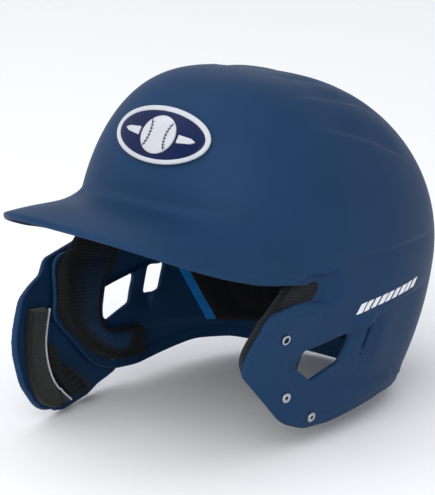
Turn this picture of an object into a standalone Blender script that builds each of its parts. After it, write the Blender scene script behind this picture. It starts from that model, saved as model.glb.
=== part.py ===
"""Baseball batting helmet with a jaw guard, built as its separate pieces.

The pieces are modelled in the helmet's own frame: x runs to the wearer's left, y to the back,
z up, with the edge of the bill level at the temples.  One empty then tips the whole helmet back
on its rim and sets it down with the middle of its box over the origin.  Lengths are in metres.
"""
import math

import bmesh
import bpy
from mathutils import Matrix, Vector

# ---------------------------------------------------------------- driving dimensions
# Dome: a superellipse in plan that closes to the crown and tapers below its widest height.
HALF_WIDTH = 0.102
FRONT_REACH = 0.109
REAR_REACH = 0.145
WIDEST_HEIGHT = 0.108
CROWN_RISE = 0.117
PLAN_POWER = 2.5
CROWN_POWER_FRONT = 3.9
CROWN_POWER_SIDE = 2.95
CROWN_POWER_REAR = 1.75
TAPER_FRONT = -0.16
TAPER_SIDE = 0.14
TAPER_REAR = 0.21
NAPE_FLARE = 0.006
NAPE_FLARE_HEIGHT = 0.036
NAPE_FLARE_DEPTH = 0.020
WALL = 0.0032

# Ear flaps: forward of this meridian the wall runs straight instead of following the dome.
FLAP_ANGLE = math.radians(72)
FLAP_SLOPE_TOP = 0.02
FLAP_SLOPE_LOW = 0.15
FLAP_SLOPE_HEIGHTS = (0.050, 0.080)
FLAP_TOP = (0.098, 0.118)
FLAP_LAST_ANGLE = math.radians(30)

# Bill: how far its edge reaches in front, its plan and how much it arches over the brow.
BILL_REACH = 0.176
BILL_HALF_WIDTH = HALF_WIDTH - 0.001
BILL_BACK = -0.038
BILL_SIDE_HEIGHT = 0.1015
BILL_ARCH = 0.0225
BILL_ROOT_HEIGHT = 0.142
BILL_EDGE_POWERS = (4.1, 1.92)
BILL_ARCH_POWER = 4
BILL_SLOPE = math.radians(15)
BILL_STIFFNESS = (0.22, 0.50)
BILL_TURN = (math.radians(30), math.radians(35))
TEMPLE_ANGLE = math.radians(66)
TEMPLE_ROOT_HEIGHT = 0.112
JOIN_HEIGHT = 0.100

# Side profile of the face opening, the ear flap and the lower rim: (y, z, corner radius).
RIM_PROFILE = (
    (-0.2600, 0.1010, 0.0),
    (-0.0355, 0.1010, 0.0045),
    (-0.0400, 0.0925, 0.006),
    (-0.0805, 0.0822, 0.012),
    (-0.0880, 0.0420, 0.010),
    (-0.0420, 0.0065, 0.030),
    (-0.0190, 0.0015, 0.040),
    (0.0050, 0.0037, 0.060),
    (0.0620, 0.0190, 0.060),
    (0.0900, 0.0215, 0.040),
    (0.1900, 0.0100, 0.0),
)
PROFILE_FLOOR = -0.060
EAR_HOLE = (
    (-0.0385, 0.0560, 0.004),
    (0.0030, 0.0678, 0.004),
    (-0.0032, 0.0465, 0.004),
    (-0.0265, 0.0355, 0.005),
    (-0.0435, 0.0450, 0.004),
)
REAR_VENT = (
    (0.0155, 0.0695, 0.0025),
    (0.0300, 0.0745, 0.0025),
    (0.0255, 0.0550, 0.0025),
    (0.0120, 0.0500, 0.0025),
)

# Jaw guard on the wearer's right, cut from a sheet that carries the flap surface forward.
GUARD_WALL = 0.0035
GUARD_GAP = 0.0008
GUARD_TANGENT_Y = -0.080
GUARD_CURVE = 3.2
GUARD_SHEET_Y = (0.004, -0.146)
GUARD_SHEET_Z = (0.110, -0.032)
GUARD_PROFILE = (
    (-0.0480, 0.0940, 0.008),
    (-0.0835, 0.0800, 0.012),
    (-0.0905, 0.0690, 0.010),
    (-0.1245, 0.0560, 0.018),
    (-0.1350, 0.0290, 0.030),
    (-0.1210, 0.0010, 0.035),
    (-0.0985, -0.0190, 0.030),
    (-0.0700, -0.0205, 0.030),
    (-0.0420, -0.0140, 0.020),
    (-0.0100, 0.0010, 0.009),
    (-0.0080, 0.0190, 0.009),
    (-0.0310, 0.0260, 0.014),
    (-0.0520, 0.0400, 0.010),
    (-0.0540, 0.0640, 0.010),
    (-0.0460, 0.0780, 0.010),
)

# Pads on the guard, each between two edges: (y, z) of one edge, then (y, z) of the other.
GUARD_STRIP = (
    (-0.1145, 0.0505, -0.0920, 0.0495),
    (-0.1165, 0.0370, -0.0950, 0.0365),
    (-0.1163, 0.0235, -0.0960, 0.0250),
    (-0.1145, 0.0090, -0.0932, 0.0120),
    (-0.1085, -0.0030, -0.0870, 0.0005),
    (-0.0990, -0.0125, -0.0775, -0.0085),
    (-0.0860, -0.0170, -0.0680, -0.0150),
)
GUARD_CHEEK = (
    (-0.0925, 0.0265, -0.0900, 0.0240),
    (-0.0908, 0.0180, -0.0855, 0.0165),
    (-0.0875, 0.0100, -0.0770, 0.0100),
    (-0.0810, 0.0015, -0.0650, 0.0055),
    (-0.0730, -0.0065, -0.0550, 0.0000),
    (-0.0640, -0.0120, -0.0475, -0.0075),
)
GUARD_STRIP_THICKNESS = 0.0075
GUARD_CHEEK_THICKNESS = 0.0100
PIPING_RADIUS = 0.0008

# Liner pads: a foam base on the wall and a covered cushion on the foam.
LINER_GAP = 0.0014
LAYER_GAP = 0.0004
FOAM_THICKNESS = 0.0040
CUSHION_THICKNESS = 0.0060
EDGE_SHARE = 0.55
# Meridians in degrees at the lower and the upper edge, then the heights of those edges.
BROW_PAD = ((-52, 52), (-46, 46), 0.1440, 0.1720)
REAR_PAD = ((129, 231), (104.5, 255.5), 0.0330, 0.0940)
SIDE_PAD = ((87, 100), (84, 104), 0.0710, 0.1500)
CROWN_PAD_HALF_WIDTH = 0.040
CROWN_PAD_Y = (-0.045, 0.070)
EAR_PAD = (
    (-0.0560, 0.1080, -0.0230, 0.1080),
    (-0.0670, 0.0920, -0.0240, 0.0880),
    (-0.0790, 0.0770, -0.0265, 0.0740),
    (-0.0830, 0.0620, -0.0350, 0.0630),
    (-0.0850, 0.0480, -0.0385, 0.0510),
    (-0.0780, 0.0370, -0.0390, 0.0410),
    (-0.0640, 0.0270, -0.0350, 0.0330),
    (-0.0450, 0.0150, -0.0240, 0.0300),
    (-0.0220, 0.0080, -0.0100, 0.0300),
    (-0.0020, 0.0090, 0.0010, 0.0310),
    (0.0090, 0.0130, 0.0070, 0.0300),
)

# Fasteners.  Places are (y, z) on either ear flap.
FLAP_HOLES = ((-0.0620, 0.0665), (-0.0477, 0.0265), (-0.0193, 0.0115))
HOLE_RADIUS = 0.0023
HOLE_CUT = 0.012
SHANK_RADIUS = 0.0019
HEAD_RADIUS = 0.0034
HEAD_HEIGHT = 0.0012
HEAD_EDGE = 0.0003
SOCKET_RADIUS = 0.0011
SOCKET_DEPTH = 0.0012
NUT_RADIUS = 0.0042
NUT_THICKNESS = 0.0012
NUT_RECESS = 0.0010
NUT_GAP = 0.0006
SCREW_LENGTH_PAST_GUARD = 0.0018
RECESS_PAST_WALL = 0.0016
FIT_GAP = 0.0003

# Badge on the forehead.
BADGE_HEIGHT = 0.1805
BADGE_HALF_WIDTH = 0.0388
BADGE_HALF_RISE = 0.0205
BADGE_RING = 0.0042
BADGE_LIFT = 0.0006
BADGE_PLATE = 0.0014
BADGE_RING_THICKNESS = 0.0022
BADGE_SLOPE = 0.86
EMBLEM_RADIUS = 0.0125
EMBLEM_THICKNESS = 0.0007
EMBLEM_BAR = ((0.0147, 0.0028), (0.0250, 0.0016), (0.0280, 0.0))

# Rest pose.
REST_TILT = math.radians(-10.9)

# Mesh density.
COLUMNS = 60
CROWN_ROWS = 9
BROW_ROWS = 5
LOWER_HEIGHTS = (0.088, 0.076, 0.064, 0.050, 0.037, 0.027, 0.017, 0.004, -0.030)
SHEET_OVERLAP = 0.003
GUARD_COLUMNS = 18
GUARD_ROWS = 12
BADGE_SIDES = 36
CUTTER_REACH = 0.150
GUARD_CUTTER_X = -0.040

FLIP = {"left": 1.0, "right": -1.0}


# ---------------------------------------------------------------- dome surface
def blend(low, high, value):
    """Smooth step from 0 at low to 1 at high."""
    share = min(max((value - low) / (high - low), 0.0), 1.0)
    return share * share * (3.0 - 2.0 * share)


def plan_reach(angle):
    """Distance from the axis to the dome at its widest height; angle 0 is the front."""
    length = FRONT_REACH if math.cos(angle) > 0 else REAR_REACH
    across = abs(math.sin(angle) / HALF_WIDTH) ** PLAN_POWER
    along = abs(math.cos(angle) / length) ** PLAN_POWER
    return (across + along) ** (-1.0 / PLAN_POWER)


def around(angle, front, side, rear):
    """Mix three values by how much an angle faces the front, the side or the rear."""
    to_front = max(math.cos(angle), 0.0) ** 2
    to_rear = max(-math.cos(angle), 0.0) ** 2
    return front * to_front + rear * to_rear + side * (1.0 - to_front - to_rear)


def crown_power(angle):
    """How square the dome closes to the crown at a meridian."""
    return around(angle, CROWN_POWER_FRONT, CROWN_POWER_SIDE, CROWN_POWER_REAR)


def share_at(angle, height):
    """Place on a dome meridian: 0 at the crown, 1 at the widest height, 2 at height zero."""
    if height < WIDEST_HEIGHT:
        return 2.0 - height / WIDEST_HEIGHT
    rise = min((height - WIDEST_HEIGHT) / CROWN_RISE, 1.0)
    return (1.0 - rise ** 2) ** (1.0 / crown_power(angle))


def flap_reach(angle, base, slope):
    """Reach of the straight flap wall that starts at a base point on the flap meridian."""
    turn = max(abs(math.remainder(angle, 2 * math.pi)), FLAP_LAST_ANGLE)
    return (base.x - slope * base.y) / (math.sin(turn) + slope * math.cos(turn))


def dome_at(angle, share):
    """Point of the shell's outer surface: the dome, with straight flaps below the temples."""
    point = plain_dome_at(angle, share)
    flap = 1.0 - blend(*FLAP_TOP, point.z)
    if flap == 0.0 or math.cos(angle) <= math.cos(FLAP_ANGLE):
        return point
    base = plain_dome_at(FLAP_ANGLE, share_at(FLAP_ANGLE, point.z))
    rise = blend(*FLAP_SLOPE_HEIGHTS, point.z)
    slope = FLAP_SLOPE_LOW + (FLAP_SLOPE_TOP - FLAP_SLOPE_LOW) * rise
    reach = math.hypot(point.x, point.y)
    scale = 1.0 + flap * (flap_reach(angle, base, slope) / reach - 1.0)
    return Vector((point.x * scale, point.y * scale, point.z))


def plain_dome_at(angle, share):
    """Point of the dome's surface."""
    if share <= 1.0:
        height = WIDEST_HEIGHT + CROWN_RISE * math.sqrt(max(1.0 - share ** crown_power(angle), 0.0))
        reach = plan_reach(angle) * share
    else:
        down = share - 1.0
        height = WIDEST_HEIGHT * (1.0 - down)
        taper = around(angle, TAPER_FRONT, TAPER_SIDE, TAPER_REAR)
        reach = plan_reach(angle) * (1.0 - taper * down ** 2)
        to_rear = max(-math.cos(angle), 0.0) ** 2
        reach += NAPE_FLARE * to_rear * (1.0 - blend(NAPE_FLARE_HEIGHT - NAPE_FLARE_DEPTH,
                                                    NAPE_FLARE_HEIGHT, height))
    return Vector((reach * math.sin(angle), -reach * math.cos(angle), height))


def dome_normal(angle, share):
    """Outward normal of the dome."""
    step = 0.002
    share = max(share, 0.02)
    along = dome_at(angle, share + step) - dome_at(angle, share - step)
    across = dome_at(angle + step, share) - dome_at(angle - step, share)
    normal = across.cross(along) * -1.0
    return normal.normalized()


def inside_dome(angle, height, depth):
    """Point that lies depth inside the outer surface, at a meridian and a height."""
    share = share_at(angle, height)
    return dome_at(angle, share) - dome_normal(angle, share) * depth


def side_angle(y, z):
    """Meridian angle of the left side's surface point at a given y and z."""
    low, high = 0.0, math.pi
    for _ in range(40):
        middle = (low + high) / 2
        point = dome_at(middle, share_at(middle, z))
        if point.y < y:
            low = middle
        else:
            high = middle
    return (low + high) / 2


def side_point(y, z, depth, side):
    """Point depth inside the dome, over (y, z) of the chosen side."""
    point = inside_dome(side_angle(y, z), z, depth)
    point.x *= FLIP[side]
    return point


# ---------------------------------------------------------------- bill
def bill_edge(angle):
    """Radius and height of the bill's edge at a meridian angle."""
    low, high = 0.0, 2.0 * BILL_REACH
    for _ in range(40):
        middle = (low + high) / 2
        x = abs(middle * math.sin(angle)) / BILL_HALF_WIDTH
        y = max((BILL_BACK + middle * math.cos(angle)) / (BILL_REACH + BILL_BACK), 0.0)
        if x ** BILL_EDGE_POWERS[0] + y ** BILL_EDGE_POWERS[1] < 1.0:
            low = middle
        else:
            high = middle
    share = min(abs(low * math.sin(angle)) / BILL_HALF_WIDTH, 1.0)
    return low, BILL_SIDE_HEIGHT + BILL_ARCH * (1.0 - share ** BILL_ARCH_POWER)


def brow_column(angle):
    """Points below the crown part: over the bill in front, straight down elsewhere."""
    turn = abs(math.remainder(angle, 2 * math.pi))
    temple = blend(BILL_TURN[0], TEMPLE_ANGLE, turn)
    waist = BILL_ROOT_HEIGHT + (TEMPLE_ROOT_HEIGHT - BILL_ROOT_HEIGHT) * temple
    start = dome_at(angle, share_at(angle, waist))
    if turn > TEMPLE_ANGLE - 1e-6:
        rows = []
        for row in range(1, BROW_ROWS + 1):
            height = waist + (JOIN_HEIGHT - waist) * row / BROW_ROWS
            rows.append(dome_at(angle, share_at(angle, height)))
        return waist, rows
    reach, height = bill_edge(angle)
    outward = Vector((math.sin(angle), -math.cos(angle), 0.0))
    end = outward * reach + Vector((0, 0, height))
    length = (end - start).length
    down = (dome_at(angle, share_at(angle, waist - 0.001)) - start).normalized()
    slope = BILL_SLOPE + (math.pi / 2 - BILL_SLOPE) * blend(BILL_TURN[1], TEMPLE_ANGLE, turn)
    out = outward * math.cos(slope) - Vector((0, 0, math.sin(slope)))
    knee = start + down * (BILL_STIFFNESS[0] * length)
    lead = end - out * (BILL_STIFFNESS[1] * length)
    rows = []
    for row in range(1, BROW_ROWS + 1):
        t = row / BROW_ROWS
        s = 1.0 - t
        rows.append(start * s ** 3 + knee * (3 * s * s * t) + lead * (3 * s * t * t) + end * t ** 3)
    return waist, rows


# ---------------------------------------------------------------- mesh helpers
def make_material(name, colour, roughness, metallic=0.0):
    """Plain surface material."""
    material = bpy.data.materials.new(name)
    material.use_nodes = True
    shader = material.node_tree.nodes["Principled BSDF"]
    shader.inputs["Base Color"].default_value = (*colour, 1.0)
    shader.inputs["Roughness"].default_value = roughness
    shader.inputs["Metallic"].default_value = metallic
    return material


def add_object(name, points, faces, material, rest):
    """Make one object from points and faces, with its faces turned outwards."""
    mesh = bpy.data.meshes.new(name)
    mesh.from_pydata([tuple(point) for point in points], [], faces)
    work = bmesh.new()
    work.from_mesh(mesh)
    bmesh.ops.recalc_face_normals(work, faces=work.faces)
    work.to_mesh(mesh)
    work.free()
    piece = bpy.data.objects.new(name, mesh)
    bpy.context.scene.collection.objects.link(piece)
    piece.parent = rest
    if material is not None:
        mesh.materials.append(material)
        mesh.shade_smooth()
        mesh.set_sharp_from_angle(angle=math.radians(35))
    return piece


def cut(piece, cutter, operation="DIFFERENCE"):
    """Boolean a piece with a cutter that isn't part of the helmet."""
    cutter.hide_render = True
    cutter.display_type = "WIRE"
    modifier = piece.modifiers.new(cutter.name, "BOOLEAN")
    modifier.operation = operation
    modifier.solver = "EXACT"
    modifier.object = cutter


def rounded_outline(corners, steps=5):
    """Points of a closed outline whose corners are arcs of the given radii."""
    outline = []
    count = len(corners)
    for index, (u, v, radius) in enumerate(corners):
        corner = Vector((u, v))
        if radius == 0.0:
            outline.append(corner)
            continue
        before = Vector(corners[index - 1][:2]) - corner
        after = Vector(corners[(index + 1) % count][:2]) - corner
        half = before.angle(after) / 2
        reach = min(radius / math.tan(half), 0.49 * before.length, 0.49 * after.length)
        start = corner + before.normalized() * reach
        end = corner + after.normalized() * reach
        for step in range(steps + 1):
            t = step / steps
            outline.append(start * (1 - t) ** 2 + corner * (2 * t * (1 - t)) + end * t ** 2)
    return outline


def prism(name, outline, x_low, x_high, rest):
    """Outline in the y-z plane, extruded along x."""
    count = len(outline)
    points = [Vector((x, place.x, place.y)) for x in (x_low, x_high) for place in outline]
    faces = [list(range(count)), list(range(2 * count - 1, count - 1, -1))]
    for index in range(count):
        following = (index + 1) % count
        faces.append([index, following, following + count, index + count])
    return add_object(name, points, faces, None, rest)


def closed_slab(rows):
    """Points and faces of a slab; rows[i][j] is an (outer, inner) pair of points."""
    height, width = len(rows), len(rows[0])
    points = []
    for layer in (0, 1):
        for row in rows:
            points += [pair[layer] for pair in row]
    size = height * width
    faces = []
    for i in range(height - 1):
        for j in range(width - 1):
            a = i * width + j
            faces.append([a, a + 1, a + width + 1, a + width])
            faces.append([a + size, a + width + size, a + width + 1 + size, a + 1 + size])
    ring = [j for j in range(width)]
    ring += [i * width + width - 1 for i in range(1, height)]
    ring += [(height - 1) * width + j for j in range(width - 2, -1, -1)]
    ring += [i * width for i in range(height - 2, 0, -1)]
    for index, a in enumerate(ring):
        b = ring[(index + 1) % len(ring)]
        faces.append([a, b, b + size, a + size])
    return points, faces


def smooth_path(stops, steps):
    """Catmull-Rom curve through tuples of numbers."""
    path = []
    last = len(stops) - 1
    for index in range(last):
        p0 = stops[max(index - 1, 0)]
        p1, p2 = stops[index], stops[index + 1]
        p3 = stops[min(index + 2, last)]
        for step in range(steps):
            t = step / steps
            path.append(tuple(
                0.5 * (2 * b + (c - a) * t + (2 * a - 5 * b + 4 * c - d) * t * t
                       + (3 * b - a - 3 * c + d) * t ** 3)
                for a, b, c, d in zip(p0, p1, p2, p3)))
    path.append(tuple(stops[last]))
    return path


# ---------------------------------------------------------------- shell
def shell_sheet():
    """Outer surface of the shell as one open sheet, a grid of meridians."""
    points = [dome_at(0.0, 0.0)]
    faces = []
    angles = [2 * math.pi * column / COLUMNS for column in range(COLUMNS)]
    depth = CROWN_ROWS + BROW_ROWS
    for angle in angles:
        waist, brow = brow_column(angle)
        end = share_at(angle, waist)
        for row in range(1, CROWN_ROWS + 1):
            points.append(dome_at(angle, end * math.sin(math.pi / 2 * row / CROWN_ROWS)))
        points += brow

    def upper(column, row):
        return 1 + (column % COLUMNS) * depth + row

    for column in range(COLUMNS):
        faces.append([0, upper(column, 0), upper(column + 1, 0)])
        for row in range(depth - 1):
            faces.append([upper(column, row), upper(column, row + 1),
                          upper(column + 1, row + 1), upper(column + 1, row)])

    temple = round(TEMPLE_ANGLE / (2 * math.pi) * COLUMNS)
    first = temple - 5
    grid = {}
    for column in range(first, COLUMNS - first + 1):
        angle = angles[column]
        joined = temple <= column <= COLUMNS - temple
        if joined:
            grid[column, 0] = upper(column, depth - 1)
        else:
            grid[column, 0] = len(points)
            points.append(dome_at(angle, share_at(angle, JOIN_HEIGHT - SHEET_OVERLAP)))
        for row, height in enumerate(LOWER_HEIGHTS, start=1):
            grid[column, row] = len(points)
            points.append(dome_at(angle, share_at(angle, height)))
    for column in range(first, COLUMNS - first):
        for row in range(len(LOWER_HEIGHTS)):
            faces.append([grid[column, row], grid[column, row + 1],
                          grid[column + 1, row + 1], grid[column + 1, row]])
    return points, faces


def build_shell(material, rest):
    """Shell of constant wall thickness with its opening, ear holes and rear vents."""
    points, faces = shell_sheet()
    shell = add_object("shell", points, faces, material, rest)
    solidify = shell.modifiers.new("wall", "SOLIDIFY")
    solidify.thickness = WALL
    solidify.offset = -1.0
    solidify.use_even_offset = True
    solidify.use_quality_normals = True
    outline = rounded_outline(RIM_PROFILE)
    outline.append(Vector((RIM_PROFILE[-1][0], PROFILE_FLOOR)))
    outline.append(Vector((RIM_PROFILE[0][0], PROFILE_FLOOR)))
    cut(shell, prism("cut_rim", outline, -CUTTER_REACH, CUTTER_REACH, rest))
    for name, corners in (("cut_ear_holes", EAR_HOLE), ("cut_rear_vents", REAR_VENT)):
        outline = rounded_outline(corners, steps=3)
        cut(shell, prism(name, outline, -CUTTER_REACH, CUTTER_REACH, rest))
    return shell


# ---------------------------------------------------------------- fasteners
def hole_frame(place, side, depth):
    """Matrix whose z axis is the outward normal at a flap hole, at a depth in the wall."""
    y, z = place
    angle = side_angle(y, z)
    normal = dome_normal(angle, share_at(angle, z))
    normal.x *= FLIP[side]
    centre = side_point(y, z, 0.0, side) - normal * depth
    turn = normal.to_track_quat("Z", "Y").to_matrix().to_4x4()
    return Matrix.Translation(centre) @ turn


def turned(profile, sides=16):
    """Points and faces of a profile of (radius, height) turned round z; ends lie on the axis."""
    points = []
    faces = []
    rings = []
    for radius, height in profile:
        if radius == 0.0:
            rings.append([len(points)])
            points.append(Vector((0, 0, height)))
            continue
        ring = []
        for side in range(sides):
            turn = 2 * math.pi * side / sides
            ring.append(len(points))
            points.append(Vector((radius * math.cos(turn), radius * math.sin(turn), height)))
        rings.append(ring)
    for low, high in zip(rings, rings[1:]):
        for side in range(sides):
            following = (side + 1) % sides
            if len(low) == 1:
                faces.append([low[0], high[following], high[side]])
            elif len(high) == 1:
                faces.append([low[side], low[following], high[0]])
            else:
                faces.append([low[side], low[following], high[following], high[side]])
    return points, faces


def ring_profile(inner, outer, low, high, sides=16):
    """Points and faces of a flat washer round z."""
    points = []
    for radius, height in ((inner, low), (outer, low), (outer, high), (inner, high)):
        for side in range(sides):
            turn = 2 * math.pi * side / sides
            points.append(Vector((radius * math.cos(turn), radius * math.sin(turn), height)))
    faces = []
    for band in range(4):
        for side in range(sides):
            following = (side + 1) % sides
            a, b = band * sides, ((band + 1) % 4) * sides
            faces.append([a + side, a + following, b + following, b + side])
    return points, faces


def add_placed(name, shape, frame, material, rest):
    """Object from a (points, faces) shape, placed by a matrix."""
    points, faces = shape
    piece = add_object(name, points, faces, material, rest)
    piece.matrix_local = frame
    return piece


def cylinder_cutter(name, radius, low, high, frame, rest):
    """Round cutter along the z axis of a frame."""
    shape = turned(((0.0, low), (radius, low), (radius, high), (0.0, high)))
    return add_placed(name, shape, frame, None, rest)


def build_fastener(name, place, side, stack, materials, rest):
    """Screw from outside through a stack of thickness above the wall, and its nut inside."""
    frame = hole_frame(place, side, 0.0)
    bottom = -WALL - LINER_GAP + FIT_GAP
    seat = stack + FIT_GAP
    top = seat + HEAD_HEIGHT
    screw = turned((
        (0.0, bottom),
        (SHANK_RADIUS, bottom),
        (SHANK_RADIUS, seat),
        (HEAD_RADIUS, seat),
        (HEAD_RADIUS, top - HEAD_EDGE),
        (HEAD_RADIUS - HEAD_EDGE, top),
        (SOCKET_RADIUS, top),
        (SOCKET_RADIUS, top - SOCKET_DEPTH),
        (0.0, top - SOCKET_DEPTH),
    ))
    add_placed(name, screw, frame, materials["steel"], rest)
    high = -WALL - NUT_GAP
    nut = ring_profile(SHANK_RADIUS + FIT_GAP, NUT_RADIUS, high - NUT_THICKNESS, high)
    add_placed(name + "_nut", nut, frame, materials["nut"], rest)


# ---------------------------------------------------------------- jaw guard
def guard_point(y, z, lift):
    """Point of the guard's inner face at (y, z), raised by lift away from the head."""
    if y >= GUARD_TANGENT_Y:
        return side_point(y, z, -GUARD_GAP - lift, "right")
    start = side_point(GUARD_TANGENT_Y, z, -GUARD_GAP - lift, "right")
    behind = side_point(GUARD_TANGENT_Y + 0.004, z, -GUARD_GAP - lift, "right")
    direction = start - behind
    ahead = GUARD_TANGENT_Y - y
    inward = -direction.x / direction.y * ahead + GUARD_CURVE * ahead ** 2
    return Vector((start.x + inward, y + (start.y - GUARD_TANGENT_Y), z))


def even_steps(ends, count):
    """Evenly spaced values between two ends, both included."""
    return [ends[0] + (ends[1] - ends[0]) * step / count for step in range(count + 1)]


def build_guard(materials, rest):
    """Jaw guard, cut to its outline from a curved sheet."""
    ys = even_steps(GUARD_SHEET_Y, GUARD_COLUMNS)
    zs = even_steps(GUARD_SHEET_Z, GUARD_ROWS)
    rows = []
    for z in zs:
        rows.append([(guard_point(y, z, GUARD_WALL), guard_point(y, z, 0.0)) for y in ys])
    points, faces = closed_slab(rows)
    guard = add_object("jaw_guard", points, faces, materials["shell"], rest)
    outline = rounded_outline(GUARD_PROFILE)
    cut(guard, prism("cut_guard", outline, -CUTTER_REACH, GUARD_CUTTER_X, rest), "INTERSECT")
    return guard


def guard_pad(name, stops, thickness, material, rest, steps=2, across=4):
    """Pad along the guard's inner face between two edges, crowned across its width."""
    rows = []
    for y0, z0, y1, z1 in smooth_path(stops, steps):
        row = []
        for step in range(across + 1):
            t = step / across
            y, z = y0 + (y1 - y0) * t, z0 + (z1 - z0) * t
            swell = EDGE_SHARE + (1.0 - EDGE_SHARE) * math.sin(math.pi * t)
            row.append((guard_point(y, z, -FIT_GAP - LAYER_GAP),
                        guard_point(y, z, -FIT_GAP - LAYER_GAP - thickness * swell)))
        rows.append(row)
    points, faces = closed_slab(rows)
    return add_object(name, points, faces, material, rest)


def tube(name, path, radius, material, rest, sides=6):
    """Round closed tube along a list of points."""
    points, faces = [], []
    for index, point in enumerate(path):
        ahead = path[min(index + 1, len(path) - 1)] - path[max(index - 1, 0)]
        turn = ahead.to_track_quat("Z", "X").to_matrix()
        for side in range(sides):
            angle = 2 * math.pi * side / sides
            points.append(point + turn @ Vector((radius * math.cos(angle),
                                                 radius * math.sin(angle), 0)))
    for index in range(len(path) - 1):
        for side in range(sides):
            following = (side + 1) % sides
            a, b = index * sides, (index + 1) * sides
            faces.append([a + side, a + following, b + following, b + side])
    faces.append(list(range(sides)))
    faces.append([len(points) - 1 - side for side in range(sides)])
    return add_object(name, points, faces, material, rest)


def build_guard_pads(materials, rest):
    """Edge strip, its piping and the cheek pad, all on the guard's inner face."""
    guard_pad("guard_edge_pad", GUARD_STRIP, GUARD_STRIP_THICKNESS, materials["webbing"], rest)
    guard_pad("guard_cheek_pad", GUARD_CHEEK, GUARD_CHEEK_THICKNESS, materials["fabric"], rest)
    edge = [Vector(stop[2:]) for stop in smooth_path(GUARD_STRIP, 2)]
    lift = -FIT_GAP - LAYER_GAP - GUARD_STRIP_THICKNESS * EDGE_SHARE
    path = []
    for index, place in enumerate(edge):
        along = edge[min(index + 1, len(edge) - 1)] - edge[max(index - 1, 0)]
        aside = Vector((-along.y, along.x)).normalized() * (PIPING_RADIUS + 2 * FIT_GAP)
        path.append(guard_point(place.x + aside.x, place.y + aside.y, lift))
    tube("guard_pad_piping", path, PIPING_RADIUS, materials["piping"], rest)


# ---------------------------------------------------------------- liner pads
def layered_pad(name, grid, materials, rest, recesses=()):
    """Foam base and covered cushion; grid[i][j] gives (angle, share) and a swell of 0 to 1."""
    wall = WALL + LINER_GAP
    layers = (
        ("_foam", materials["foam"], wall, lambda swell: wall + FOAM_THICKNESS),
        ("_cushion", materials["fabric"], wall + FOAM_THICKNESS + LAYER_GAP,
         lambda swell: wall + FOAM_THICKNESS + LAYER_GAP
         + CUSHION_THICKNESS * (EDGE_SHARE + (1.0 - EDGE_SHARE) * swell)),
    )
    for suffix, material, outer, inner in layers:
        rows = []
        for line in grid:
            row = []
            for angle, share, swell in line:
                point, normal = dome_at(angle, share), dome_normal(angle, share)
                row.append((point - normal * outer, point - normal * inner(swell)))
            rows.append(row)
        points, faces = closed_slab(rows)
        piece = add_object(name + suffix, points, faces, material, rest)
        if suffix == "_foam":
            for cutter in recesses:
                cut(piece, cutter)


def swell_at(u, v):
    """How far a cushion is raised at a place in its outline, from 0 to 1."""
    return math.sqrt(max(math.sin(math.pi * u) * math.sin(math.pi * v), 0.0))


def band_grid(low_angles, high_angles, low, high, rows, columns):
    """Grid between two heights, whose angle span differs at the lower and the upper edge."""
    grid = []
    for i in range(rows + 1):
        v = i / rows
        height = low + (high - low) * v
        start = low_angles[0] + (high_angles[0] - low_angles[0]) * v
        end = low_angles[1] + (high_angles[1] - low_angles[1]) * v
        line = []
        for j in range(columns + 1):
            u = j / columns
            angle = math.radians(start + (end - start) * u)
            line.append((angle, share_at(angle, height), swell_at(u, v)))
        grid.append(line)
    return grid


def crown_grid(half_width, front, rear, rows, columns):
    """Grid over the crown between two y values."""
    grid = []
    for i in range(rows + 1):
        v = i / rows
        line = []
        for j in range(columns + 1):
            u = j / columns
            x = half_width * (2 * u - 1)
            y = front + (rear - front) * v
            angle = math.atan2(x, -y)
            line.append((angle, math.hypot(x, y) / plan_reach(angle), swell_at(u, v)))
        grid.append(line)
    return grid


def ear_grid(side, steps=2, across=3):
    """Grid between the two edges of the ear pad, round the ear hole."""
    grid = []
    stops = smooth_path(EAR_PAD, steps)
    for index, (y0, z0, y1, z1) in enumerate(stops):
        line = []
        for step in range(across + 1):
            u = step / across
            y, z = y0 + (y1 - y0) * u, z0 + (z1 - z0) * u
            angle = side_angle(y, z)
            swell = swell_at(u, 0.1 + 0.8 * index / (len(stops) - 1))
            line.append((FLIP[side] * angle, share_at(angle, z), swell))
        grid.append(line)
    return grid


def build_liner(materials, recesses, rest):
    """All the pads that line the shell."""
    low, high, bottom, top = SIDE_PAD
    for side, flip in FLIP.items():
        grid = band_grid([flip * angle for angle in low], [flip * angle for angle in high],
                         bottom, top, 5, 4)
        layered_pad("side_pad_" + side, grid, materials, rest)
        layered_pad("ear_pad_" + side, ear_grid(side), materials, rest, recesses[side])
    layered_pad("brow_pad", band_grid(*BROW_PAD, 2, 12), materials, rest)
    layered_pad("rear_pad", band_grid(*REAR_PAD, 4, 14), materials, rest)
    crown = crown_grid(CROWN_PAD_HALF_WIDTH, *CROWN_PAD_Y, 6, 5)
    layered_pad("crown_pad", crown, materials, rest)


# ---------------------------------------------------------------- badge
def badge_point(u, v, lift):
    """Point over the forehead at (u, v) across and up from the badge's centre."""
    height = BADGE_HEIGHT + v * BADGE_SLOPE
    ahead = dome_at(0.0, share_at(0.0, height))
    angle = u / abs(ahead.y)
    share = share_at(angle, height)
    return dome_at(angle, share) + dome_normal(angle, share) * lift


def oval_slab(name, corners, material, rest):
    """Section of (share of the full oval, lift) corners, carried round the badge's centre."""
    points, faces = [], []
    for share, lift in corners:
        for side in range(BADGE_SIDES):
            turn = 2 * math.pi * side / BADGE_SIDES
            points.append(badge_point(share * BADGE_HALF_WIDTH * math.cos(turn),
                                      share * BADGE_HALF_RISE * math.sin(turn), lift))
    for band in range(len(corners)):
        a, b = band * BADGE_SIDES, (band + 1) % len(corners) * BADGE_SIDES
        for side in range(BADGE_SIDES):
            following = (side + 1) % BADGE_SIDES
            faces.append([a + side, a + following, b + following, b + side])
    return add_object(name, points, faces, material, rest)


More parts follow.
